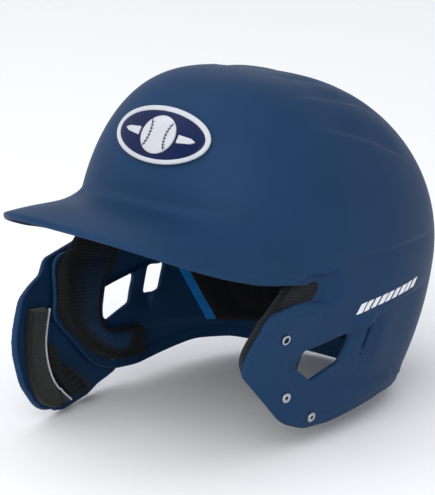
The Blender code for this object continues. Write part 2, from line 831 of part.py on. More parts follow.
def emblem_slab(name, outline, low, high, material, rest):
    """Flat shape between two lifts, with a ring of points half way to its middle."""
    middle = sum(outline, Vector((0, 0))) / len(outline)
    count = len(outline)
    rim = list(outline)
    half = [(place + middle) / 2 for place in outline]
    layer = 2 * count + 1
    points = []
    for lift in (low, high):
        points += [badge_point(place.x, place.y, lift) for place in rim + half + [middle]]
    faces = []
    for index in range(count):
        following = (index + 1) % count
        for base in (0, layer):
            faces.append([base + index, base + following, base + count + following,
                          base + count + index])
            faces.append([base + count + index, base + count + following, base + 2 * count])
        faces.append([index, following, following + layer, index + layer])
    return add_object(name, points, faces, material, rest)


def build_badge(materials, rest):
    """Oval badge: a raised ring, an inset plate and a ball between two bars."""
    inner = 1.0 - BADGE_RING / BADGE_HALF_WIDTH
    plate = inner - 2 * FIT_GAP / BADGE_HALF_RISE
    low, plate_top = BADGE_LIFT, BADGE_LIFT + BADGE_PLATE
    ring_top = BADGE_LIFT + BADGE_RING_THICKNESS
    oval_slab("badge_ring", ((inner, low), (1.0, low), (1.0, ring_top), (inner, ring_top)),
              materials["badge_white"], rest)
    plate_outline = []
    for side in range(BADGE_SIDES):
        turn = 2 * math.pi * side / BADGE_SIDES
        plate_outline.append(Vector((plate * BADGE_HALF_WIDTH * math.cos(turn),
                                     plate * BADGE_HALF_RISE * math.sin(turn))))
    emblem_slab("badge_plate", plate_outline, low, plate_top, materials["badge_blue"], rest)
    low = plate_top + FIT_GAP
    high = low + EMBLEM_THICKNESS
    ball = [Vector((EMBLEM_RADIUS * math.cos(2 * math.pi * k / 24),
                    EMBLEM_RADIUS * math.sin(2 * math.pi * k / 24))) for k in range(24)]
    emblem_slab("badge_ball", ball, low, high, materials["badge_white"], rest)
    for side, flip in FLIP.items():
        bar = [Vector((flip * x, -y)) for x, y in EMBLEM_BAR]
        bar += [Vector((flip * x, y)) for x, y in reversed(EMBLEM_BAR[:-1])]
        emblem_slab("badge_bar_" + side, bar, low, high, materials["badge_white"], rest)


# ---------------------------------------------------------------- assembly
def set_down(rest):
    """Tip the helmet back and put the middle of its box's base on the origin."""
    rest.rotation_euler = (REST_TILT, 0.0, 0.0)
    bpy.context.view_layer.update()
    graph = bpy.context.evaluated_depsgraph_get()
    low = Vector((math.inf,) * 3)
    high = Vector((-math.inf,) * 3)
    for piece in bpy.context.scene.objects:
        if piece.type != "MESH" or piece.hide_render:
            continue
        mesh = piece.evaluated_get(graph).to_mesh()
        for vertex in mesh.vertices:
            point = piece.matrix_world @ vertex.co
            for axis in range(3):
                low[axis] = min(low[axis], point[axis])
                high[axis] = max(high[axis], point[axis])
        piece.evaluated_get(graph).to_mesh_clear()
    rest.location = (0.0, -(low.y + high.y) / 2, -low.z)
    bpy.context.view_layer.update()


def main():
    for piece in list(bpy.data.objects):
        bpy.data.objects.remove(piece, do_unlink=True)
    materials = {
        "shell": make_material("navy_abs", (0.012, 0.043, 0.115), 0.45),
        "badge_white": make_material("badge_white", (0.80, 0.82, 0.86), 0.30),
        "badge_blue": make_material("badge_blue", (0.004, 0.012, 0.060), 0.12),
        "foam": make_material("blue_foam", (0.01, 0.22, 0.62), 0.85),
        "fabric": make_material("black_fabric", (0.012, 0.012, 0.014), 0.90),
        "webbing": make_material("grey_webbing", (0.055, 0.057, 0.060), 0.92),
        "piping": make_material("white_piping", (0.62, 0.63, 0.65), 0.70),
        "steel": make_material("zinc_steel", (0.62, 0.63, 0.65), 0.25, 1.0),
        "nut": make_material("nut_steel", (0.40, 0.41, 0.43), 0.40, 1.0),
    }
    rest = bpy.data.objects.new("rest_pose", None)
    bpy.context.scene.collection.objects.link(rest)

    shell = build_shell(materials["shell"], rest)
    guard = build_guard(materials, rest)
    recesses = {"left": [], "right": []}
    guard_stack = GUARD_GAP + GUARD_WALL + SCREW_LENGTH_PAST_GUARD
    for side in ("left", "right"):
        for number, place in enumerate(FLAP_HOLES, start=1):
            label = side + "_" + str(number)
            stack = 0.0 if side == "left" else guard_stack
            frame = hole_frame(place, side, 0.0)
            through = cylinder_cutter("cut_hole_" + label, HOLE_RADIUS, -HOLE_CUT, HOLE_CUT,
                                      frame, rest)
            cut(shell, through)
            if side == "right":
                cut(guard, through)
            recess = cylinder_cutter("cut_recess_" + label, NUT_RADIUS + NUT_RECESS,
                                     -WALL - LINER_GAP - RECESS_PAST_WALL, 0.0, frame, rest)
            recesses[side].append(recess)
            name = ("flap_screw_" if side == "left" else "guard_screw_") + str(number)
            build_fastener(name, place, side, stack, materials, rest)
    build_guard_pads(materials, rest)
    build_liner(materials, recesses, rest)
    build_badge(materials, rest)
    set_down(rest)


main()
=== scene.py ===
"""Looks of a baseball batting helmet with a jaw guard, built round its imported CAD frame.

Shapes are worked out in the helmet's own frame: x to the wearer's left, y to the back of the
head, z up, with the edge of the bill level at the temples.  One matrix then tips them back the
way the helmet rests.  Lengths are in metres, and angles run round z from the front.
"""
import math

import bmesh
import bpy
import numpy as np
from bpy.props import FloatProperty, FloatVectorProperty, IntProperty, PointerProperty
from bpy.types import Operator, Panel, PropertyGroup
from mathutils import Matrix, Vector


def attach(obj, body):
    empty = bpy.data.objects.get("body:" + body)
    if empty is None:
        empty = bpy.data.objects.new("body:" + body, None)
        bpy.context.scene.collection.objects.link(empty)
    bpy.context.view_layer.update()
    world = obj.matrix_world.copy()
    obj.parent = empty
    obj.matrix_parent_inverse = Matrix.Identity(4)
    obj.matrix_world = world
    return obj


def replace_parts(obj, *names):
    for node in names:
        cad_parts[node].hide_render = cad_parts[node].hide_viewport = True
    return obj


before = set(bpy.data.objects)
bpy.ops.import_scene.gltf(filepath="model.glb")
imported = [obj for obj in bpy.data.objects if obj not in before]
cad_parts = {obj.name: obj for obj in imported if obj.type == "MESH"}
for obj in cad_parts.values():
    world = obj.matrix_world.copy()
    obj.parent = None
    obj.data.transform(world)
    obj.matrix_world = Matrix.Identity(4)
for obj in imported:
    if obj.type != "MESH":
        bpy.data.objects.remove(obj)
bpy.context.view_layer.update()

bl_info = {
    "name": "Batting Helmet",
    "version": (1, 0, 0),
    "blender": (4, 5, 0),
    "location": "3D View > Sidebar > Helmet",
    "description": "Builds the shell, jaw guard, badge, fasteners and padded liner of a batting helmet",
    "category": "Add Mesh",
}

# ---------------------------------------------------------------- shell surface, as in the CAD
HALF_WIDTH = 0.102
FRONT_REACH = 0.109
REAR_REACH = 0.145
WIDEST_HEIGHT = 0.108
CROWN_RISE = 0.117
PLAN_POWER = 2.5
CROWN_POWERS = (3.9, 2.95, 1.75)
TAPERS = (-0.16, 0.14, 0.21)
NAPE_FLARE = 0.006
NAPE_FLARE_HEIGHTS = (0.016, 0.036)
WALL = 0.0032
SHELL_ROWS = (120, 40, 90)  # rows of faces over the crown, down the brow and below it

FLAP_ANGLE = math.radians(72)
FLAP_LAST_ANGLE = math.radians(30)
FLAP_SLOPES = (0.15, 0.02)
FLAP_SLOPE_HEIGHTS = (0.050, 0.080)
FLAP_TOP = (0.098, 0.118)

BILL_REACH = 0.176
BILL_HALF_WIDTH = 0.101
BILL_BACK = -0.038
BILL_SIDE_HEIGHT = 0.1015
BILL_ARCH = 0.0225
BILL_EDGE_POWERS = (4.1, 1.92)
BILL_ROOT_HEIGHT = 0.142
BILL_SLOPE = math.radians(15)
BILL_STIFFNESS = (0.22, 0.50)
BILL_CROWN = 0.0022
TEMPLE_ROOT_HEIGHT = 0.112
TEMPLE_ANGLES = (math.radians(59), math.radians(68))
JOIN_HEIGHT = 0.100
FLAP_START_ANGLE = math.radians(36)
LOWEST = -0.012

RIM_PROFILE = (
    (-0.2600, 0.1010, 0.0), (-0.0355, 0.1010, 0.0045), (-0.0400, 0.0925, 0.006),
    (-0.0805, 0.0822, 0.012), (-0.0880, 0.0420, 0.010), (-0.0420, 0.0065, 0.030),
    (-0.0190, 0.0015, 0.040), (0.0050, 0.0037, 0.060), (0.0620, 0.0190, 0.060),
    (0.0900, 0.0215, 0.040), (0.1900, 0.0100, 0.0), (0.1900, -0.0600, 0.0),
    (-0.2600, -0.0600, 0.0),
)
EAR_HOLE = (
    (-0.0385, 0.0560, 0.004), (0.0030, 0.0678, 0.004), (-0.0032, 0.0465, 0.004),
    (-0.0265, 0.0355, 0.005), (-0.0435, 0.0450, 0.004),
)
REAR_VENT = (
    (0.0175, 0.0705, 0.0025), (0.0295, 0.0745, 0.0025), (0.0250, 0.0550, 0.0025),
    (0.0135, 0.0505, 0.0025),
)

# Creases: lines on the left side as (y, z), each a small step down on its lower side.
BROW_CREASE = (
    (-0.1060, 0.1110), (-0.0855, 0.1095), (-0.0565, 0.1088), (-0.0250, 0.1090), (-0.0140, 0.1060),
)
FLAP_CREASE = ((-0.0140, 0.0932), (-0.0270, 0.0894), (-0.0450, 0.0862), (-0.0590, 0.0830), (-0.0690, 0.0775))
REAR_CREASE = (
    (-0.0338, 0.1271), (-0.0194, 0.1232), (-0.0018, 0.1200), (0.0280, 0.1233), (0.0605, 0.1279),
    (0.0886, 0.1306), (0.1100, 0.1320),
)
# Scoop round the ear hole: its outline, of which the first points are its upper edge.
SCOOP = (
    (-0.0409, 0.0590), (-0.0200, 0.0645), (0.0036, 0.0697), (0.0231, 0.0762), (0.0500, 0.0865),
    (0.0788, 0.0940), (0.1200, 0.1070), (0.1200, 0.0320), (0.0681, 0.0310), (0.0267, 0.0276),
    (-0.0047, 0.0247), (-0.0301, 0.0241), (-0.0438, 0.0315), (-0.0520, 0.0420), (-0.0536, 0.0522),
)
SCOOP_UPPER = 8
SCOOP_DEPTH = 0.0028
VENT_STEP = ((0.0245, 0.0840), (0.0225, 0.0725), (0.0185, 0.0525), (0.0170, 0.0380))
# Crown channels as (x, y) in plan: centre line, half width and depth.
CROWN_CHANNELS = (
    (((0.0060, -0.0420), (0.0200, -0.0260), (0.0330, -0.0080), (0.0400, 0.0180), (0.0420, 0.0480)),
     0.0060, 0.0010),
    (((0.0520, -0.0400), (0.0556, -0.0088), (0.0580, 0.0158), (0.0580, 0.0450), (0.0560, 0.0700)),
     0.0060, 0.0016),
    (((0.0700, -0.0452), (0.0750, -0.0184), (0.0785, 0.0121), (0.0800, 0.0386), (0.0780, 0.0600)),
     0.0065, 0.0020),
)

# Jaw guard.
GUARD_WALL = 0.0035
GUARD_GAP = 0.0008
GUARD_TANGENT_Y = -0.080
GUARD_CURVE = 3.2
GUARD_PROFILE = (
    (-0.0480, 0.0940, 0.008), (-0.0835, 0.0800, 0.012), (-0.0905, 0.0690, 0.010),
    (-0.1245, 0.0560, 0.018), (-0.1350, 0.0290, 0.030), (-0.1210, 0.0010, 0.035),
    (-0.0985, -0.0190, 0.030), (-0.0700, -0.0205, 0.030), (-0.0420, -0.0140, 0.020),
    (-0.0100, 0.0010, 0.009), (-0.0080, 0.0190, 0.009), (-0.0310, 0.0260, 0.014),
    (-0.0520, 0.0400, 0.010), (-0.0540, 0.0640, 0.010), (-0.0460, 0.0780, 0.010),
)
GUARD_STRIP = (
    (-0.1145, 0.0505, -0.0920, 0.0495), (-0.1165, 0.0370, -0.0950, 0.0365),
    (-0.1163, 0.0235, -0.0960, 0.0250), (-0.1145, 0.0090, -0.0932, 0.0120),
    (-0.1085, -0.0030, -0.0870, 0.0005), (-0.0990, -0.0125, -0.0775, -0.0085),
    (-0.0860, -0.0170, -0.0680, -0.0150),
)
GUARD_CHEEK = (
    (-0.0925, 0.0265, -0.0900, 0.0240), (-0.0908, 0.0180, -0.0855, 0.0165),
    (-0.0875, 0.0100, -0.0770, 0.0100), (-0.0810, 0.0015, -0.0650, 0.0055),
    (-0.0730, -0.0065, -0.0550, 0.0000), (-0.0640, -0.0120, -0.0475, -0.0075),
)
GUARD_STRIP_THICKNESS = 0.0075
GUARD_CHEEK_THICKNESS = 0.0100
PIPING_RADIUS = 0.0008

# Liner.
LINER_GAP = 0.0014
LAYER_GAP = 0.0004
FOAM_THICKNESS = 0.0040
CUSHION_THICKNESS = 0.0060
SWELL_LIMIT = 0.0022
PUFF_FRAMES = 16
FIT_GAP = 0.0003
BROW_PAD = ((-52, 52), (-46, 46), 0.1440, 0.1720)
REAR_PAD = ((129, 231), (104.5, 255.5), 0.0330, 0.0940)
SIDE_PAD = ((87, 100), (84, 104), 0.0710, 0.1500)
CROWN_PAD_HALF_WIDTH = 0.040
CROWN_PAD_Y = (-0.045, 0.070)
SIDE_COVER_RISE = 0.012  # the side covers start higher than their foam, clear of the vents
REAR_COVER = ((132, 228), (108, 252))
EAR_COVER_SHIFT = {"left": -0.0012, "right": 0.0014}
EAR_PAD = (
    (-0.0560, 0.1080, -0.0230, 0.1080), (-0.0670, 0.0920, -0.0240, 0.0880),
    (-0.0790, 0.0770, -0.0265, 0.0740), (-0.0830, 0.0620, -0.0350, 0.0630),
    (-0.0850, 0.0480, -0.0385, 0.0510), (-0.0780, 0.0370, -0.0390, 0.0410),
    (-0.0640, 0.0270, -0.0350, 0.0330), (-0.0450, 0.0150, -0.0240, 0.0300),
    (-0.0220, 0.0080, -0.0100, 0.0300), (-0.0020, 0.0090, 0.0010, 0.0310),
    (0.0090, 0.0130, 0.0070, 0.0300),
)

# Fasteners: (y, z) of their places on either ear flap.
FASTENER_PLACES = ((-0.0620, 0.0665), (-0.0477, 0.0265), (-0.0193, 0.0115))
GUARD_STACK = GUARD_GAP + GUARD_WALL + 0.0018
HEAD_RADIUS = 0.0034
HEAD_HEIGHT = 0.0012
SHANK_RADIUS = 0.0019
SCREW_SIDES = 48

# Badge.
BADGE_HEIGHT = 0.1805
BADGE_HALF_WIDTH = 0.0388
BADGE_HALF_RISE = 0.0205
BADGE_SLOPE = 0.86
BADGE_RING = 0.0042
BADGE_LIFT = 0.0006
BADGE_RIM_HEIGHT = 0.0022
BADGE_PLATE_HEIGHT = 0.0014
EMBLEM_HEIGHT = 0.0009
EMBLEM_RADIUS = 0.01375  # a tenth larger than the CAD's
SEAM_LIFT = 0.0010
SIDE_BAR_COUNT = 9
SIDE_BAR_PITCH = 0.0076
SIDE_BAR_START = (0.0010, 0.0800)
SIDE_BAR_CLIMB = 0.2205
SIDE_BAR_LEAN = 0.0048
SIDE_BAR_RISE = 0.0068
PRINT_LIFT = 0.0003
PRINT_ROOT = 0.0006

# Camera: where it looks, its two angles, its distance and its lens in millimetres.
CAMERA_TARGET = (-0.0017, -0.0109, 0.1152)
CAMERA_AZIMUTH = math.radians(41.85)
CAMERA_ELEVATION = math.radians(17.27)
CAMERA_DISTANCE = 1.819
CAMERA_LENS = 199.5
# Lights: name, place, diameter and power in watts.
LIGHTS = (
    ("key_light", (0.55, -1.50, 1.20), 1.60, 18.0), ("left_light", (-1.40, -0.70, 0.90), 1.60, 2.5),
    ("top_light", (-0.50, -0.40, 1.80), 1.80, 6.0),
)
LIGHT_TARGET = Vector((0, 0, 0.11))

REST_TILT = math.radians(-10.9)
REST_OFFSET = (0.0, -0.00742, 0.00778)
FLIP = {"left": 1.0, "right": -1.0}


# A wave pattern of scale 1 repeats every this many millimetres.
WAVE_SPAN = 2 * math.pi * 1000 / 20


# ---------------------------------------------------------------- settings
def from_hex(colour):
    """sRGB triple of a hex colour."""
    return tuple(int(colour[k:k + 2], 16) / 255 for k in (1, 3, 5))


class HelmetSettings(PropertyGroup):
    """Sizes and colours of the helmet's finish."""

    columns: IntProperty(
        name="Columns", description="Faces round the shell", default=520, min=120, max=900)
    rim_radius: FloatProperty(
        name="Rim Radius", description="Rounding of the moulded rims", default=0.0009,
        min=0.0002, max=0.0015, unit="LENGTH")
    shell_colour: FloatVectorProperty(
        name="Shell", description="Colour of the moulded shell, sRGB", size=3,
        default=from_hex("#1A3656"), min=0.0, max=1.0, subtype="COLOR_GAMMA")
    foam_colour: FloatVectorProperty(
        name="Foam", description="Colour of the liner foam, sRGB", size=3,
        default=from_hex("#127AC4"), min=0.0, max=1.0, subtype="COLOR_GAMMA")


def settings():
    """The helmet's settings in the open scene."""
    return bpy.context.scene.batting_helmet


# ---------------------------------------------------------------- surface mathematics
def blend(low, high, value):
    """Smooth step from 0 at low to 1 at high, which may be the smaller."""
    share = np.clip((np.asarray(value, float) - low) / (high - low), 0.0, 1.0)
    return share * share * (3.0 - 2.0 * share)


def unit(vectors):
    """The vectors made one long."""
    return vectors / np.linalg.norm(vectors, axis=-1, keepdims=True)


def unit_grid(rows, columns):
    """Shares down and across a grid of the given number of points."""
    return np.meshgrid(np.linspace(0, 1, rows), np.linspace(0, 1, columns), indexing="ij")


def plan_reach(angle):
    """Distance from the axis to the dome at its widest height."""
    length = np.where(np.cos(angle) > 0, FRONT_REACH, REAR_REACH)
    across = np.abs(np.sin(angle) / HALF_WIDTH) ** PLAN_POWER
    along = np.abs(np.cos(angle) / length) ** PLAN_POWER
    return (across + along) ** (-1.0 / PLAN_POWER)


def around(angle, front, side, rear):
    """Mix three values by how much an angle faces the front, the side or the rear."""
    to_front = np.maximum(np.cos(angle), 0.0) ** 2
    to_rear = np.maximum(-np.cos(angle), 0.0) ** 2
    return front * to_front + rear * to_rear + side * (1.0 - to_front - to_rear)


def share_at(angle, height):
    """Place on a meridian: 0 at the crown, 1 at the widest height, 2 at height zero."""
    rise = np.clip((height - WIDEST_HEIGHT) / CROWN_RISE, 0.0, 1.0)
    upper = (1.0 - rise ** 2) ** (1.0 / around(angle, *CROWN_POWERS))
    return np.where(height < WIDEST_HEIGHT, 2.0 - height / WIDEST_HEIGHT, upper)


def plain_dome(angle, share):
    """Points of the dome without its flaps."""
    low = np.minimum(share, 1.0)
    rise = np.sqrt(np.maximum(1.0 - low ** around(angle, *CROWN_POWERS), 0.0))
    down = np.maximum(share - 1.0, 0.0)
    height = np.where(share <= 1.0, WIDEST_HEIGHT + CROWN_RISE * rise, WIDEST_HEIGHT * (1.0 - down))
    reach = plan_reach(angle) * low * (1.0 - around(angle, *TAPERS) * down ** 2)
    flare = NAPE_FLARE * np.maximum(-np.cos(angle), 0.0) ** 2 * (1.0 - blend(*NAPE_FLARE_HEIGHTS, height))
    reach = reach + np.where(share > 1.0, flare, 0.0)
    return np.stack([reach * np.sin(angle), -reach * np.cos(angle), height], axis=-1)


def dome(angle, share):
    """Points of the shell's outer surface, with the straight flaps below the temples."""
    angle, share = np.broadcast_arrays(np.asarray(angle, float), np.asarray(share, float))
    points = plain_dome(angle, share)
    height = points[..., 2]
    base = plain_dome(np.full_like(angle, FLAP_ANGLE), share_at(FLAP_ANGLE, height))
    slope = FLAP_SLOPES[0] + (FLAP_SLOPES[1] - FLAP_SLOPES[0]) * blend(*FLAP_SLOPE_HEIGHTS, height)
    turn = np.maximum(np.abs(np.remainder(angle + math.pi, 2 * math.pi) - math.pi), FLAP_LAST_ANGLE)
    straight = (base[..., 0] - slope * base[..., 1]) / (np.sin(turn) + slope * np.cos(turn))
    reach = np.hypot(points[..., 0], points[..., 1])
    flap = (1.0 - blend(*FLAP_TOP, height)) * (np.cos(angle) > math.cos(FLAP_ANGLE))
    scale = 1.0 + flap * (straight / np.maximum(reach, 1e-6) - 1.0)
    points[..., :2] *= scale[..., None]
    return points


def dome_normal(angle, share):
    """Outward unit normals of the shell's surface."""
    step = 0.002
    share = np.maximum(share, 0.02)
    across = dome(angle + step, share) - dome(angle - step, share)
    down = dome(angle, share + step) - dome(angle, share - step)
    return unit(np.cross(down, across))


def over_dome(angle, share, lift):
    """Points a lift above the surface, or inside it where the lift is negative."""
    return dome(angle, share) + dome_normal(angle, share) * np.asarray(lift)[..., None]


def side_place(y, z):
    """Meridian angles and shares of the left side's points at the given y and z."""
    y, z = np.broadcast_arrays(np.asarray(y, float), np.asarray(z, float))
    low, high = np.zeros(y.shape), np.full(y.shape, math.pi)
    for _ in range(30):
        middle = (low + high) / 2
        ahead = dome(middle, share_at(middle, z))[..., 1] < y
        low, high = np.where(ahead, middle, low), np.where(ahead, high, middle)
    angle = (low + high) / 2
    return angle, share_at(angle, z)


def side_points(y, z, depth, side="left"):
    """Points a depth inside the surface, over (y, z) of the chosen side."""
    points = over_dome(*side_place(y, z), -np.asarray(depth))
    points[..., 0] *= FLIP[side]
    return points


def bill_edge(angle):
    """Radius and height of the bill's edge at meridian angles."""
    low, high = np.zeros(angle.shape), np.full(angle.shape, 2.0 * BILL_REACH)
    for _ in range(30):
        middle = (low + high) / 2
        x = np.abs(middle * np.sin(angle)) / BILL_HALF_WIDTH
        y = np.maximum((BILL_BACK + middle * np.cos(angle)) / (BILL_REACH + BILL_BACK), 0.0)
        inside = x ** BILL_EDGE_POWERS[0] + y ** BILL_EDGE_POWERS[1] < 1.0
        low, high = np.where(inside, middle, low), np.where(inside, high, middle)
    share = np.minimum(np.abs(low * np.sin(angle)) / BILL_HALF_WIDTH, 1.0)
    return low, BILL_SIDE_HEIGHT + BILL_ARCH * (1.0 - share ** 4)


def rounded_outline(corners, steps=8):
    """Points of a closed outline whose corners are curves of the given radii."""
    outline = []
    for index, (u, v, radius) in enumerate(corners):
        corner = Vector((u, v))
        if radius == 0.0:
            outline.append(corner)
            continue
        before = Vector(corners[index - 1][:2]) - corner
        after = Vector(corners[(index + 1) % len(corners)][:2]) - corner
        reach = min(radius / math.tan(before.angle(after) / 2), 0.49 * before.length, 0.49 * after.length)
        start, end = corner + before.normalized() * reach, corner + after.normalized() * reach
        for step in range(steps + 1):
            t = step / steps
            outline.append(start * (1 - t) ** 2 + corner * (2 * t * (1 - t)) + end * t ** 2)
    return np.array([tuple(point) for point in outline])


def outline_distance(y, z, outline):
    """Distance to a closed outline, negative inside it."""
    nearest = np.full(y.shape, np.inf)
    inside = np.zeros(y.shape, bool)
    for a, b in zip(outline, np.roll(outline, -1, axis=0)):
        edge = b - a
        along = np.clip(((y - a[0]) * edge[0] + (z - a[1]) * edge[1]) / (edge @ edge + 1e-18), 0, 1)
        nearest = np.minimum(nearest, np.hypot(y - a[0] - along * edge[0], z - a[1] - along * edge[1]))
        crosses = (a[1] > z) != (b[1] > z)
        if a[1] != b[1]:
            inside ^= crosses & (y < a[0] + (z - a[1]) * edge[0] / edge[1])
    return np.where(inside, -nearest, nearest)


def line_distance(u, v, line):
    """Signed distance to an open line, positive on its left, and the share of its length passed."""
    line = np.asarray(line, float)
    lengths = np.hypot(*(line[1:] - line[:-1]).T)
    total, passed = lengths.sum(), 0.0
    best, side, share = np.full(u.shape, np.inf), np.ones(u.shape), np.zeros(u.shape)
    for a, b, length in zip(line, line[1:], lengths):
        edge = (b - a) / length
        du, dv = u - a[0], v - a[1]
        along = np.clip(du * edge[0] + dv * edge[1], 0, length)
        distance = np.hypot(du - along * edge[0], dv - along * edge[1])
        nearer = distance < best - 1e-9
        best = np.where(nearer, distance, best)
        side = np.where(nearer, np.sign(edge[0] * dv - edge[1] * du), side)
        share = np.where(nearer, (passed + along) / total, share)
        passed += length
    return best * side, share


def fade_ends(share, start=0.15, end=0.15):
    """1 along a line, falling to 0 over the given shares of its length at its ends."""
    return blend(0.0, start, share) * (1.0 - blend(1.0 - end, 1.0, share))


def smooth_path(stops, steps):
    """Catmull-Rom curve through rows of numbers."""
    stops = np.asarray(stops, float)
    path = []
    last = len(stops) - 1
    for index in range(last):
        p0, p1, p2, p3 = (stops[min(max(index + k, 0), last)] for k in (-1, 0, 1, 2))
        for step in range(steps):
            t = step / steps
            path.append(0.5 * (2 * p1 + (p2 - p0) * t + (2 * p0 - 5 * p1 + 4 * p2 - p3) * t * t
                               + (3 * p1 - p0 - 3 * p2 + p3) * t ** 3))
    path.append(stops[last])
    return np.array(path)


# ---------------------------------------------------------------- placing and making pieces
REST_MATRIX = Matrix.Translation(REST_OFFSET) @ Matrix.Rotation(REST_TILT, 4, "X")


def add_piece(name, points, faces, material, uvs=None, sharp=None, turn=True):
    """One shown object from helmet-frame points, riding on the helmet's body.

    Edges steeper than sharp degrees stay sharp, and turn points its faces outwards.
    """
    mesh = bpy.data.meshes.new(name)
    mesh.from_pydata(np.asarray(points, float).tolist(), [], faces)
    mesh.transform(REST_MATRIX)
    mesh.materials.append(material)
    if uvs is not None:
        layer = mesh.uv_layers.new(name="lay_flat")
        loops = np.empty(len(mesh.loops), dtype=np.int32)
        mesh.loops.foreach_get("vertex_index", loops)
        layer.data.foreach_set("uv", np.asarray(uvs, float)[loops].ravel())
    mesh.validate()
    mesh.update()
    mesh.shade_smooth()
    if turn:
        work = bmesh.new()
        work.from_mesh(mesh)
        bmesh.ops.recalc_face_normals(work, faces=work.faces)
        work.to_mesh(mesh)
        work.free()
    if sharp:
        mesh.set_sharp_from_angle(angle=math.radians(sharp))
    piece = bpy.data.objects.new(name, mesh)
    bpy.context.scene.collection.objects.link(piece)
    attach(piece, "root")
    return piece


def vertex_normals(points, faces):
    """Area-weighted vertex normals of quads."""
    corners = points[faces]
    normal = np.cross(corners[:, 2] - corners[:, 0], corners[:, 3] - corners[:, 1])
    total = np.zeros_like(points)
    for corner in range(4):
        np.add.at(total, faces[:, corner], normal)
    return total / (np.linalg.norm(total, axis=1, keepdims=True) + 1e-12)


def trim_sheet(points, normals, faces, distance):
    """Trim a quad sheet where distance(points) is negative, moving its nearest vertices to the cut."""
    value = distance(points)
    edges = np.concatenate([faces[:, [k, (k + 1) % 4]] for k in range(4)])
    edges = np.unique(np.sort(edges, axis=1), axis=0)
    edges = edges[edges[:, 0] != edges[:, 1]]
    a, b = edges[:, 0], edges[:, 1]
    crossing = (value[a] > 0) != (value[b] > 0)
    a, b = a[crossing], b[crossing]
    share = value[a] / (value[a] - value[b])
    own = share <= 0.5
    vertex, other = np.where(own, a, b), np.where(own, b, a)
    share = np.where(own, share, 1.0 - share)
    order = np.argsort(share, kind="stable")[::-1]
    moved_points, moved_normals = points.copy(), normals.copy()
    mix = share[order, None]
    moved_points[vertex[order]] = points[vertex[order]] * (1 - mix) + points[other[order]] * mix
    moved_normals[vertex[order]] = normals[vertex[order]] * (1 - mix) + normals[other[order]] * mix
    value = value.copy()
    value[vertex] = 0.0
    kept = []
    for face in faces[(value[faces] > 0).any(axis=1)]:
        corners = [int(v) for v in face if value[v] >= 0.0]
        corners = [v for k, v in enumerate(corners) if v != corners[k - 1]]
        if len(corners) >= 3:
            kept.append(corners)
    used = sorted({v for face in kept for v in face})
    number = {v: k for k, v in enumerate(used)}
    return moved_points[used], moved_normals[used], [[number[v] for v in face] for face in kept]


def thicken(points, normals, faces, wall, radius):
    """Closed body from a sheet: its inner side lies a wall inside it and its rims are rounded."""
    count = len(points)
    normals = unit(normals)
    wall, radius = np.broadcast_to(wall, (count,)), np.broadcast_to(radius, (count,))
    directed = {}
    for face in faces:
        for k, v in enumerate(face):
            directed[(v, face[(k + 1) % len(face)])] = True
    border = [edge for edge in directed if (edge[1], edge[0]) not in directed]
    outward = np.zeros_like(points)
    for a, b in border:
        side = np.cross(points[b] - points[a], normals[a] + normals[b])
        outward[a] += side
        outward[b] += side
    rim = sorted({v for edge in border for v in edge})
    place = {v: k for k, v in enumerate(rim)}
    rim = np.array(rim)
    tangent = outward[rim] - normals[rim] * (outward[rim] * normals[rim]).sum(1, keepdims=True)
    tangent /= np.linalg.norm(tangent, axis=1, keepdims=True) + 1e-12
    outer, inner = points.copy(), points - normals * wall[:, None]
    layers = [outer, inner]
    base, depth = points[rim], wall[rim, None]
    radius = radius[rim, None]
    bend = radius * (1.0 - math.sqrt(0.5))
    outer[rim] = base - tangent * radius
    inner[rim] = base - normals[rim] * depth - tangent * radius
    for back, down in ((bend, bend), (0.0, radius), (0.0, depth - radius), (bend, depth - bend)):
        layers.append(base - tangent * back - normals[rim] * down)
    body = [list(face) for face in faces] + [[v + count for v in reversed(face)] for face in faces]
    size = len(rim)
    for a, b in border:
        i, j = place[a], place[b]
        column_a = [a] + [2 * count + k * size + i for k in range(4)] + [a + count]
        column_b = [b] + [2 * count + k * size + j for k in range(4)] + [b + count]
        for k in range(5):
            body.append([column_b[k], column_a[k], column_a[k + 1], column_b[k + 1]])
    return np.concatenate(layers), body


def slab(outer, inner, closed=False):
    """Closed body between two grids of points of the same shape; closed joins the last column on."""
    rows, columns = outer.shape[:2]
    points = np.concatenate([outer.reshape(-1, 3), inner.reshape(-1, 3)])
    size = rows * columns
    faces = []
    last = columns if closed else columns - 1
    for i in range(rows - 1):
        for j in range(last):
            a, b = i * columns + j, i * columns + (j + 1) % columns
            faces.append([a, b, b + columns, a + columns])
            faces.append([a + size, a + columns + size, b + columns + size, b + size])
    for j in range(last):
        following = (j + 1) % columns
        foot = (rows - 1) * columns
        faces.append([j, j + size, following + size, following])
        faces.append([foot + j, foot + following, foot + following + size, foot + j + size])
    if not closed:
        for i in range(rows - 1):
            a, b = i * columns, (i + 1) * columns
            faces.append([a, b, b + size, a + size])
            a, b = a + columns - 1, b + columns - 1
            faces.append([a, a + size, b + size, b])
    return points, faces


def ring_faces(rings, columns, closed=False):
    """Quads between rings of points; closed joins the last ring to the first."""
    faces = []
    for ring in range(rings if closed else rings - 1):
        a, b = ring * columns, (ring + 1) % rings * columns
        for j in range(columns):
            following = (j + 1) % columns
            faces.append([a + j, a + following, b + following, b + j])
    return faces


def tube(path, radius, sides=8):
    """Round closed tube along a list of points."""
    path = [Vector(point) for point in path]
    points = []
    for index, point in enumerate(path):
        ahead = path[min(index + 1, len(path) - 1)] - path[max(index - 1, 0)]
        turn = ahead.to_track_quat("Z", "X").to_matrix()
        for side in range(sides):
            angle = 2 * math.pi * side / sides
            around_path = Vector((radius * math.cos(angle), radius * math.sin(angle), 0))
            points.append(tuple(point + turn @ around_path))
    faces = ring_faces(len(path), sides)
    faces.append(list(range(sides - 1, -1, -1)))
    faces.append([(len(path) - 1) * sides + side for side in range(sides)])
    return points, faces


